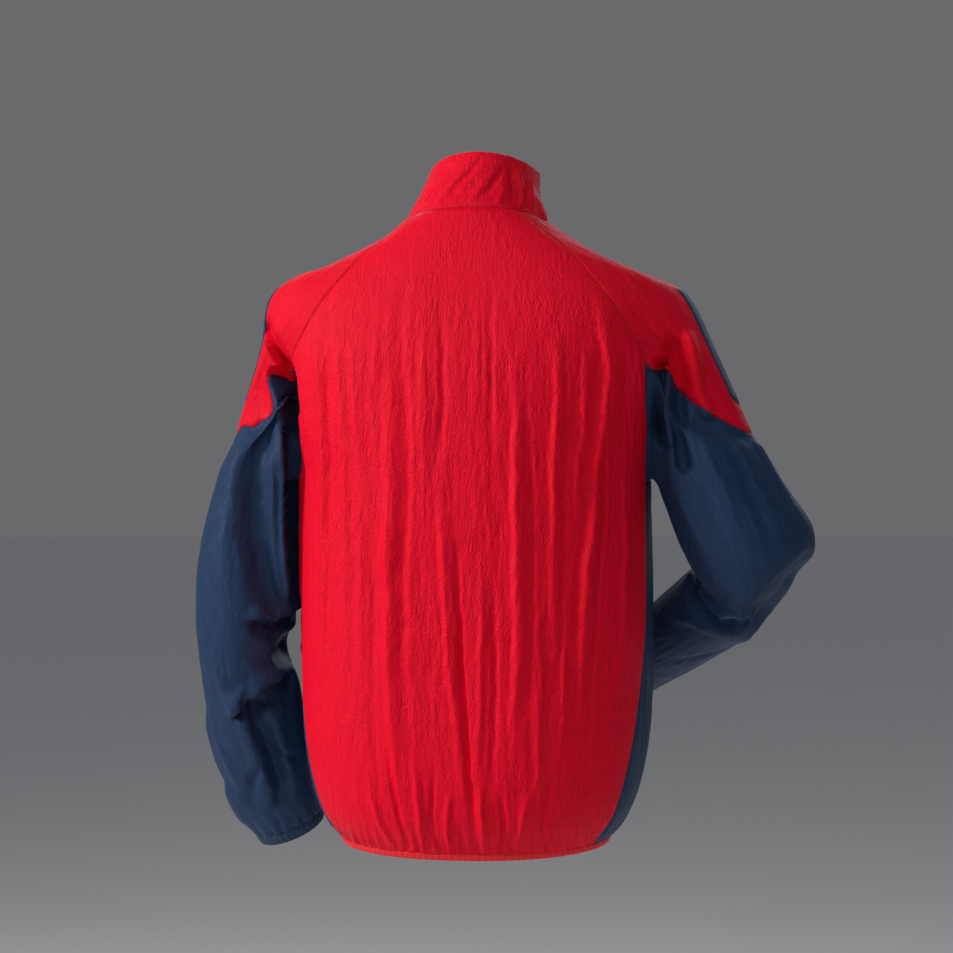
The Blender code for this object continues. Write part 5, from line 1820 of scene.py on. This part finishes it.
    def gathers(self, arm: Cloth) -> Array:
        """Uneven gathers that the cuff draws up.

        Args:
            arm: the sleeve's cloth.

        Returns:
            The lift of each of its points.
        """
        left, count = arm.border_distance(Border.HIGH), self.gather_count
        x = (arm.across - arm.across[:, :1]) / arm.girth[:, None] * count
        hill, period = x / 1.9, 10
        wander = 0.5 * noise(hill, left / 0.05, self.seed + 60, period)
        waves = np.cos(2.0 * np.pi * (x + wander * ease(x / 2.0) * ease((count - x) / 2.0)))
        uneven = 0.85 + 0.7 * noise(hill, left / 0.04, self.seed + 61, period)
        rise = 0.040 + 0.022 * noise(hill, 0.0 * x, self.seed + 62, period)
        fade = np.clip(1.0 - left / rise, 0.0, 1.0) ** 1.5
        return self.gather_depth * waves * uneven * fade * (0.45 + 0.55 * ease(left / 0.008))

    def build_cuff(self, arm: Cloth) -> None:
        """Makes the elastic binding that ends the sleeve.

        Args:
            arm: the sleeve's cloth.
        """
        centre = smooth(self.table, 1.0)[1:4]
        way = unit(centre - smooth(self.table, 0.97)[1:4])
        angles = np.linspace(-180.0, 180.0, self.cuff_columns + 1)[:-1]
        ring = self.arm_point(np.ones(self.cuff_columns), angles)
        normals = unit(ring - centre)
        seam = centre + (ring - centre) * 0.99
        free = centre + (ring - centre) * 0.955 + way * self.cuff_depth
        name = f"cuff_{self.side.word}"
        Binding(
            f"{name}_binding", name, self.looks.navy_elastic, Slot.NAVY, self.cuff_doubled, self.cuts["cuff"],
            pucker=0.0052, pucker_height=0.00040,
        ).build(seam, free, normals, True, self.seed + 8)

    def build_band(self, yoke: Cloth) -> Cloth:
        """Makes the plain navy band along the top of the yoke, on the yoke's own cloth.

        Args:
            yoke: the finished yoke.

        Returns:
            The band.
        """
        rows = np.flatnonzero((yoke.v >= self.band_low - 0.001) & (yoke.v <= self.band_top + 0.001))
        middle, half = self.yoke_columns // 2, round(self.yoke_columns * self.band_share / 2)
        columns = np.arange(middle - half, middle + half + 1)
        part = np.ix_(rows, columns)
        raised = yoke.points + yoke.normals() * (CLOTH + 0.0004)
        name = f"band_{self.side.word}"
        band = Cloth(f"{name}_cloth", raised[part], yoke.u[part], yoke.v[rows])
        edge = np.ones(band.across.shape)
        for border in Border:
            edge = np.minimum(edge, ease(band.border_distance(border) / 0.0016))
        band.lift(-0.0006 * (1.0 - edge))
        dress(band.build(self.looks.navy, 0.0003), [name])
        return band


# ---- the zip ----
@dataclass
class FrontZip:
    """A moulded zip, closed to near the top of the collar: its tape, its teeth, its slider and pull."""

    torso: Torso
    collar: StandCollar
    looks: Wardrobe
    tape_columns: int = 12
    chain_width: float = 0.0056
    tooth_pitch: float = 0.0026
    tooth_height: float = 0.0015
    chain_top: float = 0.95
    low: float = -0.6675

    def line(self, step: float, across: Array) -> Array:
        """Rows of the tape from hem to collar top.

        Args:
            step: from one row to the next, on the body.
            across: shares of the half width, from -1 to 1.

        Returns:
            A grid of points.
        """
        heights = np.arange(self.low, NECK - 0.004, step)
        halves = self.torso.zip_half(heights)[:, None]
        body = self.torso.point(FRONT + halves * across, heights[:, None] + 0.0 * across)
        shares = np.linspace(0.0, 1.0, round(0.075 / step))
        halves = self.collar.zip_half(shares)[:, None]
        stand = self.collar.point(FRONT + halves * across, shares[:, None] + 0.0 * across)
        return np.concatenate([body, stand])

    def build(self) -> None:
        """Makes the tape and the teeth, and finishes the slider and its pull."""
        across = np.linspace(-1.0, 1.0, self.tape_columns + 1)
        grid = self.line(0.004, across)
        rows = np.arange(len(grid))
        tape = Cloth(
            "zip_tape_cloth", grid, np.repeat(across[None], len(grid), 0), rows,
            frozenset((Border.START, Border.END)), outward=(0.0, -1.0, 0.2),
        )
        cord = bell(np.abs(np.abs(tape.u) - self.chain_width / self.torso.zip_width), 0.16)
        tape.lift(-0.0006 + 0.0004 * cord)
        dress(tape.build(self.looks.tape), ["zip_tape"])
        self.build_teeth()
        for node in ("zip_slider", "zip_pull"):
            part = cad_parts[node]
            part.data.materials.clear()
            part.data.materials.append(self.looks.zinc)

    def build_teeth(self) -> None:
        """Makes the two rows of moulded teeth, which mesh by half a pitch."""
        spine = self.line(0.004, np.array([0.0]))[:, 0]
        run = lengths_along(spine)
        top = run[-1] - (1.0 - self.chain_top) * 0.075
        half = self.chain_width / 2.0
        # A tooth seen from above, as shares of half the chain's width and of the pitch: a waist, then a head.
        plan = ((-0.35, 0.22), (0.42, 0.22), (0.62, 0.40), (1.0, 0.40), (1.0, -0.40), (0.62, -0.40),
                (0.42, -0.22), (-0.35, -0.22))
        # Its foot, its shoulder and its narrower top: (height, share of the plan).
        levels = ((0.0002, 1.0), (0.75 * self.tooth_height, 1.0), (self.tooth_height, 0.72))
        points, faces = [], []
        for side in (-1, 1):
            places = np.arange(0.003 + (side > 0) * self.tooth_pitch / 2, top, self.tooth_pitch)
            spot = read_along(places, run, spine)
            up = unit(read_along(places + 0.001, run, spine) - spot)
            out = np.column_stack([0.0 * up[:, 0], -up[:, 2], up[:, 1]])
            beside = np.array([1.0, 0.0, 0.0])
            for centre, way, normal in zip(spot, up, out):
                first = len(points)
                for level, size in levels:
                    for x, z in plan:
                        reach = side * half * (1.0 - (0.5 + 0.5 * (x - 0.33) * size))
                        raised = way * z * size * self.tooth_pitch + normal * level
                        points.append(centre + beside * reach + raised)
                n = len(plan)
                for ring in (0, 1):
                    for i in range(n):
                        j = (i + 1) % n
                        a, b = first + ring * n, first + (ring + 1) * n
                        face = (a + i, a + j, b + j, b + i)
                        faces.append(face if side < 0 else face[::-1])
                cap = tuple(first + 2 * n + i for i in range(n))
                foot = tuple(first + i for i in range(n))
                faces += [cap, foot[::-1]] if side < 0 else [cap[::-1], foot]
        made = mesh_object("zip_teeth", np.array(points), faces, self.looks.teeth)
        made.data.shade_flat()
        dress(made, ["zip_chain"])


# ---- the studio ----
class Lamp(NamedTuple):
    """A soft square light that faces the jacket, with a grid that keeps it off the floor."""

    name: str
    place: tuple[float, float, float]
    side: float
    watts: float
    colour: str
    spread_degrees: float


@dataclass
class Studio:
    """A pale floor, soft lights and a level camera behind the wearer's right shoulder."""

    azimuth: float = 189.0
    distance: float = 3.0
    aim_height: float = -0.275
    metres_across: float = 953 * 0.00108
    lamp_aim_height: float = -0.30
    floor_height: float = -1.20
    floor_radius: float = 40.0
    floor_corners: int = 96
    sky_strength: float = 0.15
    lamps: tuple[Lamp, ...] = (
        Lamp("key", (2.76, 1.36, 0.92), 0.9, 36.0, "#fff9f5", 120.0),
        Lamp("back_fill", (0.3, 2.8, 2.8), 2.6, 46.0, "#ffffff", 180.0),
        Lamp("rim", (-0.9, -3.0, 1.2), 1.8, 2.0, "#e4eaff", 60.0),
        Lamp("front_fill", (0.9, -3.2, 2.6), 2.6, 6.5, "#ffffff", 60.0),
    )

    @staticmethod
    def stand(made: bpy.types.Object, place: Vector, way: Vector) -> None:
        """Puts a camera or a light in its place.

        Args:
            made: the camera or the light.
            place: where it stands.
            way: the way that it looks.
        """
        made.location = place
        made.rotation_mode = "QUATERNION"
        made.rotation_quaternion = way.to_track_quat("-Z", "Y")
        bpy.context.scene.collection.objects.link(made)

    def camera(self) -> None:
        """Makes the camera."""
        data = bpy.data.cameras.new("camera")
        data.lens = data.sensor_width * self.distance / self.metres_across
        made = bpy.data.objects.new("camera", data)
        turn = math.radians(self.azimuth)
        back = Vector((math.sin(turn), -math.cos(turn), 0.0))
        self.stand(made, Vector((0.0, 0.0, self.aim_height)) + back * self.distance, -back)
        bpy.context.scene.camera = made
        bpy.context.scene.view_settings.view_transform = "Standard"

    def light(self, lamp: Lamp) -> None:
        """Makes one light.

        Args:
            lamp: the lamp.
        """
        data = bpy.data.lights.new(lamp.name, "AREA")
        data.size, data.energy, data.color = lamp.side, lamp.watts, linear(lamp.colour)[:3]
        data.spread = math.radians(lamp.spread_degrees)
        place = Vector(lamp.place)
        way = Vector((0.0, 0.0, self.lamp_aim_height)) - place
        self.stand(bpy.data.objects.new(lamp.name, data), place, way)

    def build(self) -> None:
        """Makes the whole studio."""
        self.camera()
        for lamp in self.lamps:
            self.light(lamp)
        world = bpy.data.worlds.new("studio")
        bpy.context.scene.world = world
        world.use_nodes = True
        sky = world.node_tree.nodes["Background"]
        feed(sky, {0: linear("#fafbff"), 1: self.sky_strength})
        made, shader = new_material("pale_paper_floor")
        feed(shader, {"Base Color": linear("#f4f5f7"), "Roughness": 0.9})
        turns = np.arange(self.floor_corners) * 2.0 * math.pi / self.floor_corners
        height = np.full(self.floor_corners, self.floor_height)
        edge = np.column_stack([self.floor_radius * np.cos(turns), self.floor_radius * np.sin(turns), height])
        mesh_object("floor", edge, [tuple(range(self.floor_corners))], made)


# ---- what draws several panels at once: deep folds under the arms and at the elbows ----
PULLS = (
    # The left armpit: the yoke's fold, which hangs over a deep pocket, and the seam that they draw.
    Pull(((0.2290, 0.0380, -0.116), (0.2139, 0.0525, -0.139), (0.2032, 0.0562, -0.158),
          (0.1930, 0.0625, -0.177), (0.1870, 0.0600, -0.200)),
         0.019, (0.0, 0.007, 0.0), (-0.001, -0.019, 0.0), (-0.86, -0.1, 0.45)),
    Pull(((0.1935, 0.061, -0.178), (0.1915, 0.058, -0.195), (0.1895, 0.050, -0.225), (0.188, 0.042, -0.255)),
         0.020, (-0.0090, -0.014, 0.0)),
    Pull(((0.1945, 0.0600, -0.168), (0.1925, 0.0500, -0.192), (0.1900, 0.0400, -0.222)),
         0.018, (-0.004, -0.034, 0.0)),
    Pull(((0.2290, 0.044, -0.205), (0.2340, 0.042, -0.207)), 0.026, (-0.004, 0.003, -0.013)),
    Pull(((0.2250, 0.047, -0.195), (0.2230, 0.047, -0.200)), 0.016, (-0.005, 0.001, -0.010)),
    Pull(((0.2120, 0.051, -0.174), (0.2060, 0.051, -0.178)), 0.018, (0.011, 0.0, 0.006)),
    Pull(((0.2100, 0.050, -0.172), (0.1980, 0.045, -0.178)), 0.020, (0.0, 0.0, 0.012)),
    # The left sleeve's long fold beside the body.
    Pull(((0.2055, 0.0400, -0.262), (0.2075, 0.0300, -0.322), (0.2070, 0.0263, -0.365),
          (0.2060, 0.0231, -0.390)),
         0.038, (0.0, 0.022, 0.0)),
    Pull(((0.2010, 0.0550, -0.160), (0.1985, 0.0550, -0.178), (0.1985, 0.0500, -0.205),
          (0.2030, 0.0430, -0.236), (0.2040, 0.0390, -0.279), (0.2045, 0.0300, -0.322),
          (0.2040, 0.0263, -0.365), (0.2025, 0.0231, -0.400)),
         0.022, (-0.002, 0.009, 0.0), (-0.001, -0.012, 0.0), (-1.0, -0.3, 0.0)),
    Pull(((0.1985, 0.0520, -0.232), (0.2000, 0.0540, -0.260), (0.2000, 0.0455, -0.300),
          (0.1998, 0.0430, -0.330), (0.1995, 0.0410, -0.360), (0.1990, 0.0330, -0.395)),
         0.022, (-0.004, 0.018, 0.0), (0.003, -0.004, 0.0), (-0.6, -0.8, 0.0)),
    # The left sleeve: against the body, a notch inside the elbow, the lips of two folds, and its outer line.
    Pull(((0.2025, 0.012, -0.300), (0.2005, 0.012, -0.405)), 0.034, (-0.007, 0.0, 0.0)),
    Pull(((0.2072, 0.0246, -0.4607), (0.2060, -0.010, -0.4607)), 0.026, (0.016, 0.0, 0.0)),
    Pull(((0.1991, 0.0065, -0.4190), (0.2110, 0.0464, -0.4320), (0.2206, 0.0615, -0.4265)),
         0.024, (-0.004, 0.007, -0.003), (0.009, -0.013, 0.002), (-0.2, 0.0, -1.0)),
    Pull(((0.2133, 0.0171, -0.4940), (0.2275, 0.0419, -0.5070), (0.2477, 0.0449, -0.5235)),
         0.026, (-0.004, 0.009, -0.003), (0.006, -0.014, 0.002), (-0.58, -0.1, -0.81)),
    Pull(((0.2280, 0.0260, -0.5480), (0.2300, 0.0240, -0.5600), (0.2186, 0.0040, -0.6000)),
         0.016, (0.003, -0.006, 0.0)),
    Pull(((0.2475, 0.0459, -0.5212), (0.2403, 0.0345, -0.5469), (0.2320, 0.0227, -0.5696),
          (0.2279, 0.0119, -0.5923), (0.2231, -0.0008, -0.6176)),
         0.026, (0.0, 0.004, 0.0), (0.001, -0.011, 0.0), (-1.0, -0.1, -0.3)),
    Pull(((0.2035, -0.010, -0.505), (0.1985, -0.030, -0.570)), 0.030, (-0.006, 0.0, 0.0)),
    Pull(((0.2900, -0.014, -0.550), (0.2840, -0.026, -0.580)), 0.034, (0.005, 0.0, 0.0)),
    Pull(((0.2690, -0.018, -0.628), (0.2620, -0.036, -0.645)), 0.026, (0.007, 0.001, -0.002)),
    # The right armpit: two hanging folds, and the seam that the first draws up.
    Pull(((-0.2162, 0.0554, -0.137), (-0.2215, 0.0497, -0.174), (-0.2222, 0.050, -0.205),
          (-0.229, 0.062, -0.262)),
         0.013, (0.0, -0.014, 0.0)),
    Pull(((-0.2115, 0.0530, -0.165), (-0.2138, 0.0530, -0.236)), 0.009, (0.0, 0.008, 0.0)),
    Pull(((-0.2344, 0.0470, -0.130), (-0.2416, 0.0443, -0.184), (-0.2509, 0.0426, -0.207)),
         0.012, (-0.003, 0.009, 0.0)),
    Pull(((-0.2095, 0.0530, -0.180), (-0.2140, 0.0526, -0.182)), 0.026, (-0.003, 0.001, 0.014)),
    Pull(((-0.2035, 0.0500, -0.158), (-0.2050, 0.0480, -0.238)), 0.014, (0.0, -0.026, 0.0)),
    # The right elbow: flat beneath, with a lip of cloth that hangs over the forearm.
    Pull(((-0.3530, 0.010, -0.385), (-0.3400, 0.006, -0.408), (-0.3180, -0.010, -0.432)),
         0.042, (0.015, 0.002, 0.012)),
    Pull(((-0.3450, -0.030, -0.388), (-0.3150, -0.045, -0.430)), 0.042, (0.009, 0.001, 0.007)),
    Pull(((-0.3320, 0.024, -0.396), (-0.3200, 0.020, -0.416)), 0.036, (0.010, -0.002, 0.006)),
    Pull(((-0.3400, -0.015, -0.395), (-0.3180, -0.020, -0.420)), 0.036, (0.010, 0.0, 0.006)),
    Pull(((-0.2330, -0.0280, -0.3820), (-0.2434, -0.0148, -0.4041), (-0.2648, 0.0060, -0.4270),
          (-0.2850, 0.0180, -0.4268), (-0.3010, 0.0110, -0.4240)),
         0.030, (0.0, 0.012, -0.003), (0.004, -0.018, 0.004), (0.6, 0.0, -0.8)),
    # Both sides of the neck, where the shoulders begin.
    Pull(((0.0740, 0.0, 0.016), (0.0780, 0.0, 0.0)), 0.024, (-0.006, 0.0, -0.004)),
    Pull(((0.0980, 0.032, -0.014), (0.1200, 0.030, -0.028), (0.1450, 0.024, -0.040)),
         0.046, (0.0, 0.0, -0.009)),
    Pull(((-0.0610, 0.010, 0.016), (-0.0650, 0.010, 0.008)), 0.020, (-0.006, 0.0, 0.0)),
    Pull(((-0.0980, 0.032, -0.014), (-0.1250, 0.030, -0.030), (-0.1900, 0.020, -0.058)),
         0.046, (0.0, 0.0, -0.006)),
)

# ---- the two sleeves' own shapes ----
LEFT_SECTIONS = (
    ArmSection(0.2400, 0.003, -0.285, 0.0430, 0.0420, 0.073, 0.071),
    ArmSection(0.2470, 0.006, -0.322, 0.0460, 0.0460, 0.071, 0.069),
    ArmSection(0.2515, 0.009, -0.360, 0.0500, 0.0510, 0.068, 0.067),
    ArmSection(0.2525, 0.010, -0.398, 0.0525, 0.0535, 0.066, 0.064),
    ArmSection(0.2530, 0.009, -0.430, 0.0530, 0.0540, 0.064, 0.060),
    ArmSection(0.2550, 0.005, -0.462, 0.0490, 0.0500, 0.061, 0.056),
    ArmSection(0.2530, -0.006, -0.505, 0.0485, 0.0490, 0.056, 0.053),
    ArmSection(0.2475, -0.022, -0.554, 0.0510, 0.0500, 0.052, 0.050),
    ArmSection(0.2410, -0.036, -0.592, 0.0500, 0.0475, 0.048, 0.047),
    ArmSection(0.2330, -0.048, -0.624, 0.0475, 0.0445, 0.043, 0.043),
    ArmSection(0.2210, -0.060, -0.656, 0.0415, 0.0390, 0.037, 0.037),
)
RIGHT_SECTIONS = (
    ArmSection(-0.2530, 0.002, -0.277, 0.0620, 0.0560, 0.068, 0.068),
    ArmSection(-0.2770, 0.006, -0.322, 0.0670, 0.0620, 0.062, 0.064),
    ArmSection(-0.2900, 0.004, -0.352, 0.0740, 0.0610, 0.058, 0.058),
    ArmSection(-0.2920, -0.012, -0.379, 0.0670, 0.0530, 0.058, 0.053),
    ArmSection(-0.2790, -0.037, -0.397, 0.0560, 0.0460, 0.056, 0.048),
    ArmSection(-0.2540, -0.066, -0.412, 0.0550, 0.0440, 0.050, 0.045),
    ArmSection(-0.2225, -0.104, -0.436, 0.0500, 0.0430, 0.045, 0.043),
    ArmSection(-0.1940, -0.139, -0.457, 0.0460, 0.0410, 0.042, 0.041),
    ArmSection(-0.1680, -0.171, -0.477, 0.0390, 0.0380, 0.038, 0.038),
    ArmSection(-0.1460, -0.199, -0.494, 0.0350, 0.0350, 0.035, 0.035),
)
LEFT_TOP = (
    (0.0770, 0.000, 0.0000),
    (0.1300, 0.000, -0.0335),
    (0.1790, 0.000, -0.0545),
    (0.2170, 0.000, -0.0710),
    (0.2275, 0.000, -0.0850),
    (0.2350, 0.001, -0.1370),
    (0.2600, 0.002, -0.2180),
    (0.2640, 0.003, -0.2300),
)
RIGHT_TOP = (
    (-0.0770, 0.000, 0.0000),
    (-0.1300, 0.000, -0.0335),
    (-0.1790, 0.000, -0.0545),
    (-0.2170, 0.000, -0.0720),
    (-0.2300, 0.000, -0.0850),
    (-0.2560, 0.000, -0.1380),
    (-0.2920, 0.001, -0.2180),
    (-0.2975, 0.001, -0.2300),
)
# Paths on a yoke are (share from the back seam to the front seam, height of the row's ends).
LEFT_YOKE_CREASES = (
    Crease(((0.20, -0.098), (0.19, -0.108), (0.20, -0.118)), 0.004, 0.004, -0.0020),
    Crease(((0.13, -0.100), (0.12, -0.112), (0.12, -0.124)), 0.004, 0.005, -0.0022),
    Crease(((0.30, -0.135), (0.27, -0.146), (0.25, -0.156)), 0.005, 0.004, 0.0014),
    Crease(((0.74, -0.110), (0.78, -0.130), (0.82, -0.150)), 0.010, 0.008, -0.0045),
    Crease(((0.66, -0.100), (0.69, -0.125), (0.70, -0.150)), 0.008, 0.008, 0.0030),
)
RIGHT_YOKE_CREASES = (
    Crease(((0.10, -0.105), (0.10, -0.120), (0.12, -0.140)), 0.005, 0.006, -0.0016),
    Crease(((0.76, -0.105), (0.80, -0.130), (0.84, -0.150)), 0.010, 0.008, -0.0045),
    Crease(((0.68, -0.100), (0.70, -0.125), (0.72, -0.150)), 0.008, 0.008, 0.0030),
)
# Paths on a sleeve are (angle, share of its length below the first section, or less than 0 above it).
LEFT_ARM_CREASES = (
    Crease(((86.0, -0.85), (99.0, -0.40), (110.0, 0.05), (121.0, 0.18), (132.0, 0.28), (152.0, 0.38)),
           0.026, 0.018, -0.0105),
    Crease(((56.0, -0.70), (66.0, -0.30), (76.0, 0.15), (90.0, 0.32)), 0.016, 0.012, 0.0030),
    Crease(((128.0, -0.60), (136.0, -0.20), (146.0, 0.15), (160.0, 0.30)), 0.014, 0.014, 0.0030),
    Crease(((112.0, 0.38), (140.0, 0.41), (178.0, 0.42)), 0.010, 0.007, -0.0040),
    Crease(((100.0, 0.46), (130.0, 0.50), (172.0, 0.52)), 0.012, 0.008, 0.0050),
    Crease(((90.0, 0.55), (120.0, 0.58), (170.0, 0.60)), 0.010, 0.007, -0.0040),
    Crease(((64.0, 0.46), (80.0, 0.56), (96.0, 0.68)), 0.010, 0.012, 0.0034),
    Crease(((108.0, 0.70), (135.0, 0.76), (165.0, 0.80)), 0.009, 0.008, -0.0045),
    Crease(((76.0, 0.88), (90.0, 0.80), (112.0, 0.76)), 0.008, 0.010, -0.0035),
    Crease(((40.0, 0.62), (56.0, 0.76), (70.0, 0.90)), 0.010, 0.010, 0.0026),
    Crease(((-60.0, -0.60), (-75.0, 0.00), (-100.0, 0.28)), 0.012, 0.012, -0.0050),
    Crease(((-150.0, 0.38), (-120.0, 0.42), (-90.0, 0.50)), 0.010, 0.010, -0.0055),
    Crease(((-150.0, 0.52), (-120.0, 0.56), (-85.0, 0.58)), 0.010, 0.008, 0.0040),
    Crease(((-60.0, 0.70), (-85.0, 0.80), (-110.0, 0.90)), 0.010, 0.010, -0.0036),
    Crease(((10.0, -0.50), (0.0, 0.00), (8.0, 0.40)), 0.018, 0.016, 0.0030),
)
RIGHT_ARM_CREASES = (
    Crease(((140.0, 0.385), (118.0, 0.35), (94.0, 0.32), (74.0, 0.30)), 0.012, 0.006, -0.0040),
    Crease(((136.0, 0.30), (112.0, 0.285), (88.0, 0.27)), 0.010, 0.010, 0.0045),
    Crease(((118.0, -0.70), (128.0, -0.20), (130.0, 0.20)), 0.012, 0.012, 0.0040),
    Crease(((98.0, -0.60), (104.0, -0.10), (104.0, 0.22)), 0.012, 0.014, -0.0040),
    Crease(((76.0, -0.50), (82.0, 0.00), (88.0, 0.20)), 0.012, 0.012, 0.0034),
    Crease(((52.0, -0.40), (58.0, 0.05), (70.0, 0.22)), 0.012, 0.012, -0.0034),
    Crease(((-150.0, 0.34), (-178.0, 0.40), (-200.0, 0.44)), 0.010, 0.010, -0.0055),
    Crease(((120.0, 0.44), (150.0, 0.50), (170.0, 0.58)), 0.010, 0.012, 0.0036),
    Crease(((70.0, 0.52), (95.0, 0.62), (120.0, 0.72)), 0.011, 0.010, -0.0036),
    Crease(((-60.0, -0.60), (-70.0, 0.00), (-90.0, 0.24)), 0.012, 0.012, -0.0048),
    Crease(((-120.0, 0.20), (-95.0, 0.30), (-70.0, 0.34)), 0.010, 0.010, -0.0050),
    Crease(((-110.0, 0.55), (-90.0, 0.66), (-75.0, 0.80)), 0.010, 0.010, 0.0034),
    Crease(((20.0, -0.50), (14.0, 0.00), (20.0, 0.16)), 0.016, 0.016, 0.0030),
)


def sleeve_cuts(side: Side, yoke: float, sleeve: float, band: float, cuff: float) -> dict[str, Cut]:
    """The cuts of one sleeve's pieces.

    Args:
        side: which sleeve.
        yoke: the yoke's flat area.
        sleeve: the navy sleeve's flat area.
        band: the band's flat area.
        cuff: the length of the cuff's strip.

    Returns:
        The cuts by the piece's plain name.
    """
    word = side.word
    return {
        "yoke": Cut(0.34, 0.30, yoke, Held.HUNG, ("collar", "back")),
        "sleeve": Cut(0.42, 0.46, sleeve, Held.HUNG, (f"yoke_{word}", f"side_{word}")),
        "band": Cut(0.075, 0.145, band, Held.LAID, (f"yoke_{word}",)),
        "cuff": Cut(cuff, 0.026, cuff * 0.026, Held.GATHERED, (f"sleeve_{word}",)),
    }


def main() -> None:
    """Makes the jacket's pieces in order, sews them and sets up the studio."""
    logging.basicConfig(level=logging.INFO, format="%(name)s %(message)s")
    looks, torso = Wardrobe(), Torso()
    panels = Body(torso, looks).build()
    collar_form = StandCollar(torso, looks)
    collar = collar_form.build()
    angles = torso.even(
        float(FRONT - 360.0 + torso.zip_half(HEM)), float(FRONT - torso.zip_half(HEM)), HEM, 520
    )
    hem_normals = torso.normal(angles, HEM + 0.003)
    Binding(
        "hem_binding_elastic", "hem_binding", looks.red_elastic, Slot.RED, 0.0036,
        Cut(0.82, 0.018, 0.0147, Held.GATHERED, ("back", "front_left", "front_right")),
    ).build(
        torso.point(angles, HEM) + hem_normals * 0.0003,
        torso.point(angles, HEM - HEM_BINDING_DEPTH) + hem_normals * 0.0003, hem_normals, False, 700,
    )
    red_thread = Stitching("red_topstitching", looks.red_thread, Slot.RED)
    navy_thread = Stitching("navy_topstitching", looks.navy_thread, Slot.NAVY)
    left = Sleeve(
        Side.LEFT, torso, looks, LEFT_SECTIONS, LEFT_TOP, LEFT_YOKE_CREASES, LEFT_ARM_CREASES,
        sleeve_cuts(Side.LEFT, 0.0555, 0.158, 0.0090, 0.26), seed=1000,
    )
    right = Sleeve(
        Side.RIGHT, torso, looks, RIGHT_SECTIONS, RIGHT_TOP, RIGHT_YOKE_CREASES, RIGHT_ARM_CREASES,
        sleeve_cuts(Side.RIGHT, 0.0610, 0.152, 0.0100, 0.23), seed=2000,
    )
    for sleeve in (left, right):
        yoke = sleeve.build_yoke()
        arm = sleeve.build_arm()
        sleeve.build_cuff(arm)
        band = sleeve.build_band(yoke)
        for border in (Border.START, Border.END, Border.LOW):
            red_thread.run(*yoke.seam_line(border, WIDE_INSET))
        for border in (Border.START, Border.END, Border.LOW, Border.HIGH):
            navy_thread.run(*band.seam_line(border, NARROW_INSET))
    FrontZip(torso, collar_form, looks).build()
    for panel, border, inset in (
        (panels["front_left"], Border.START, NARROW_INSET),
        (panels["front_right"], Border.END, NARROW_INSET),
        (collar, Border.LOW, NARROW_INSET),
        (panels["back"], Border.START, WIDE_INSET),
        (panels["back"], Border.END, WIDE_INSET),
    ):
        red_thread.run(*panel.seam_line(border, inset))
    red_thread.build()
    navy_thread.build()
    Studio().build()


if __name__ == "__main__":
    main()
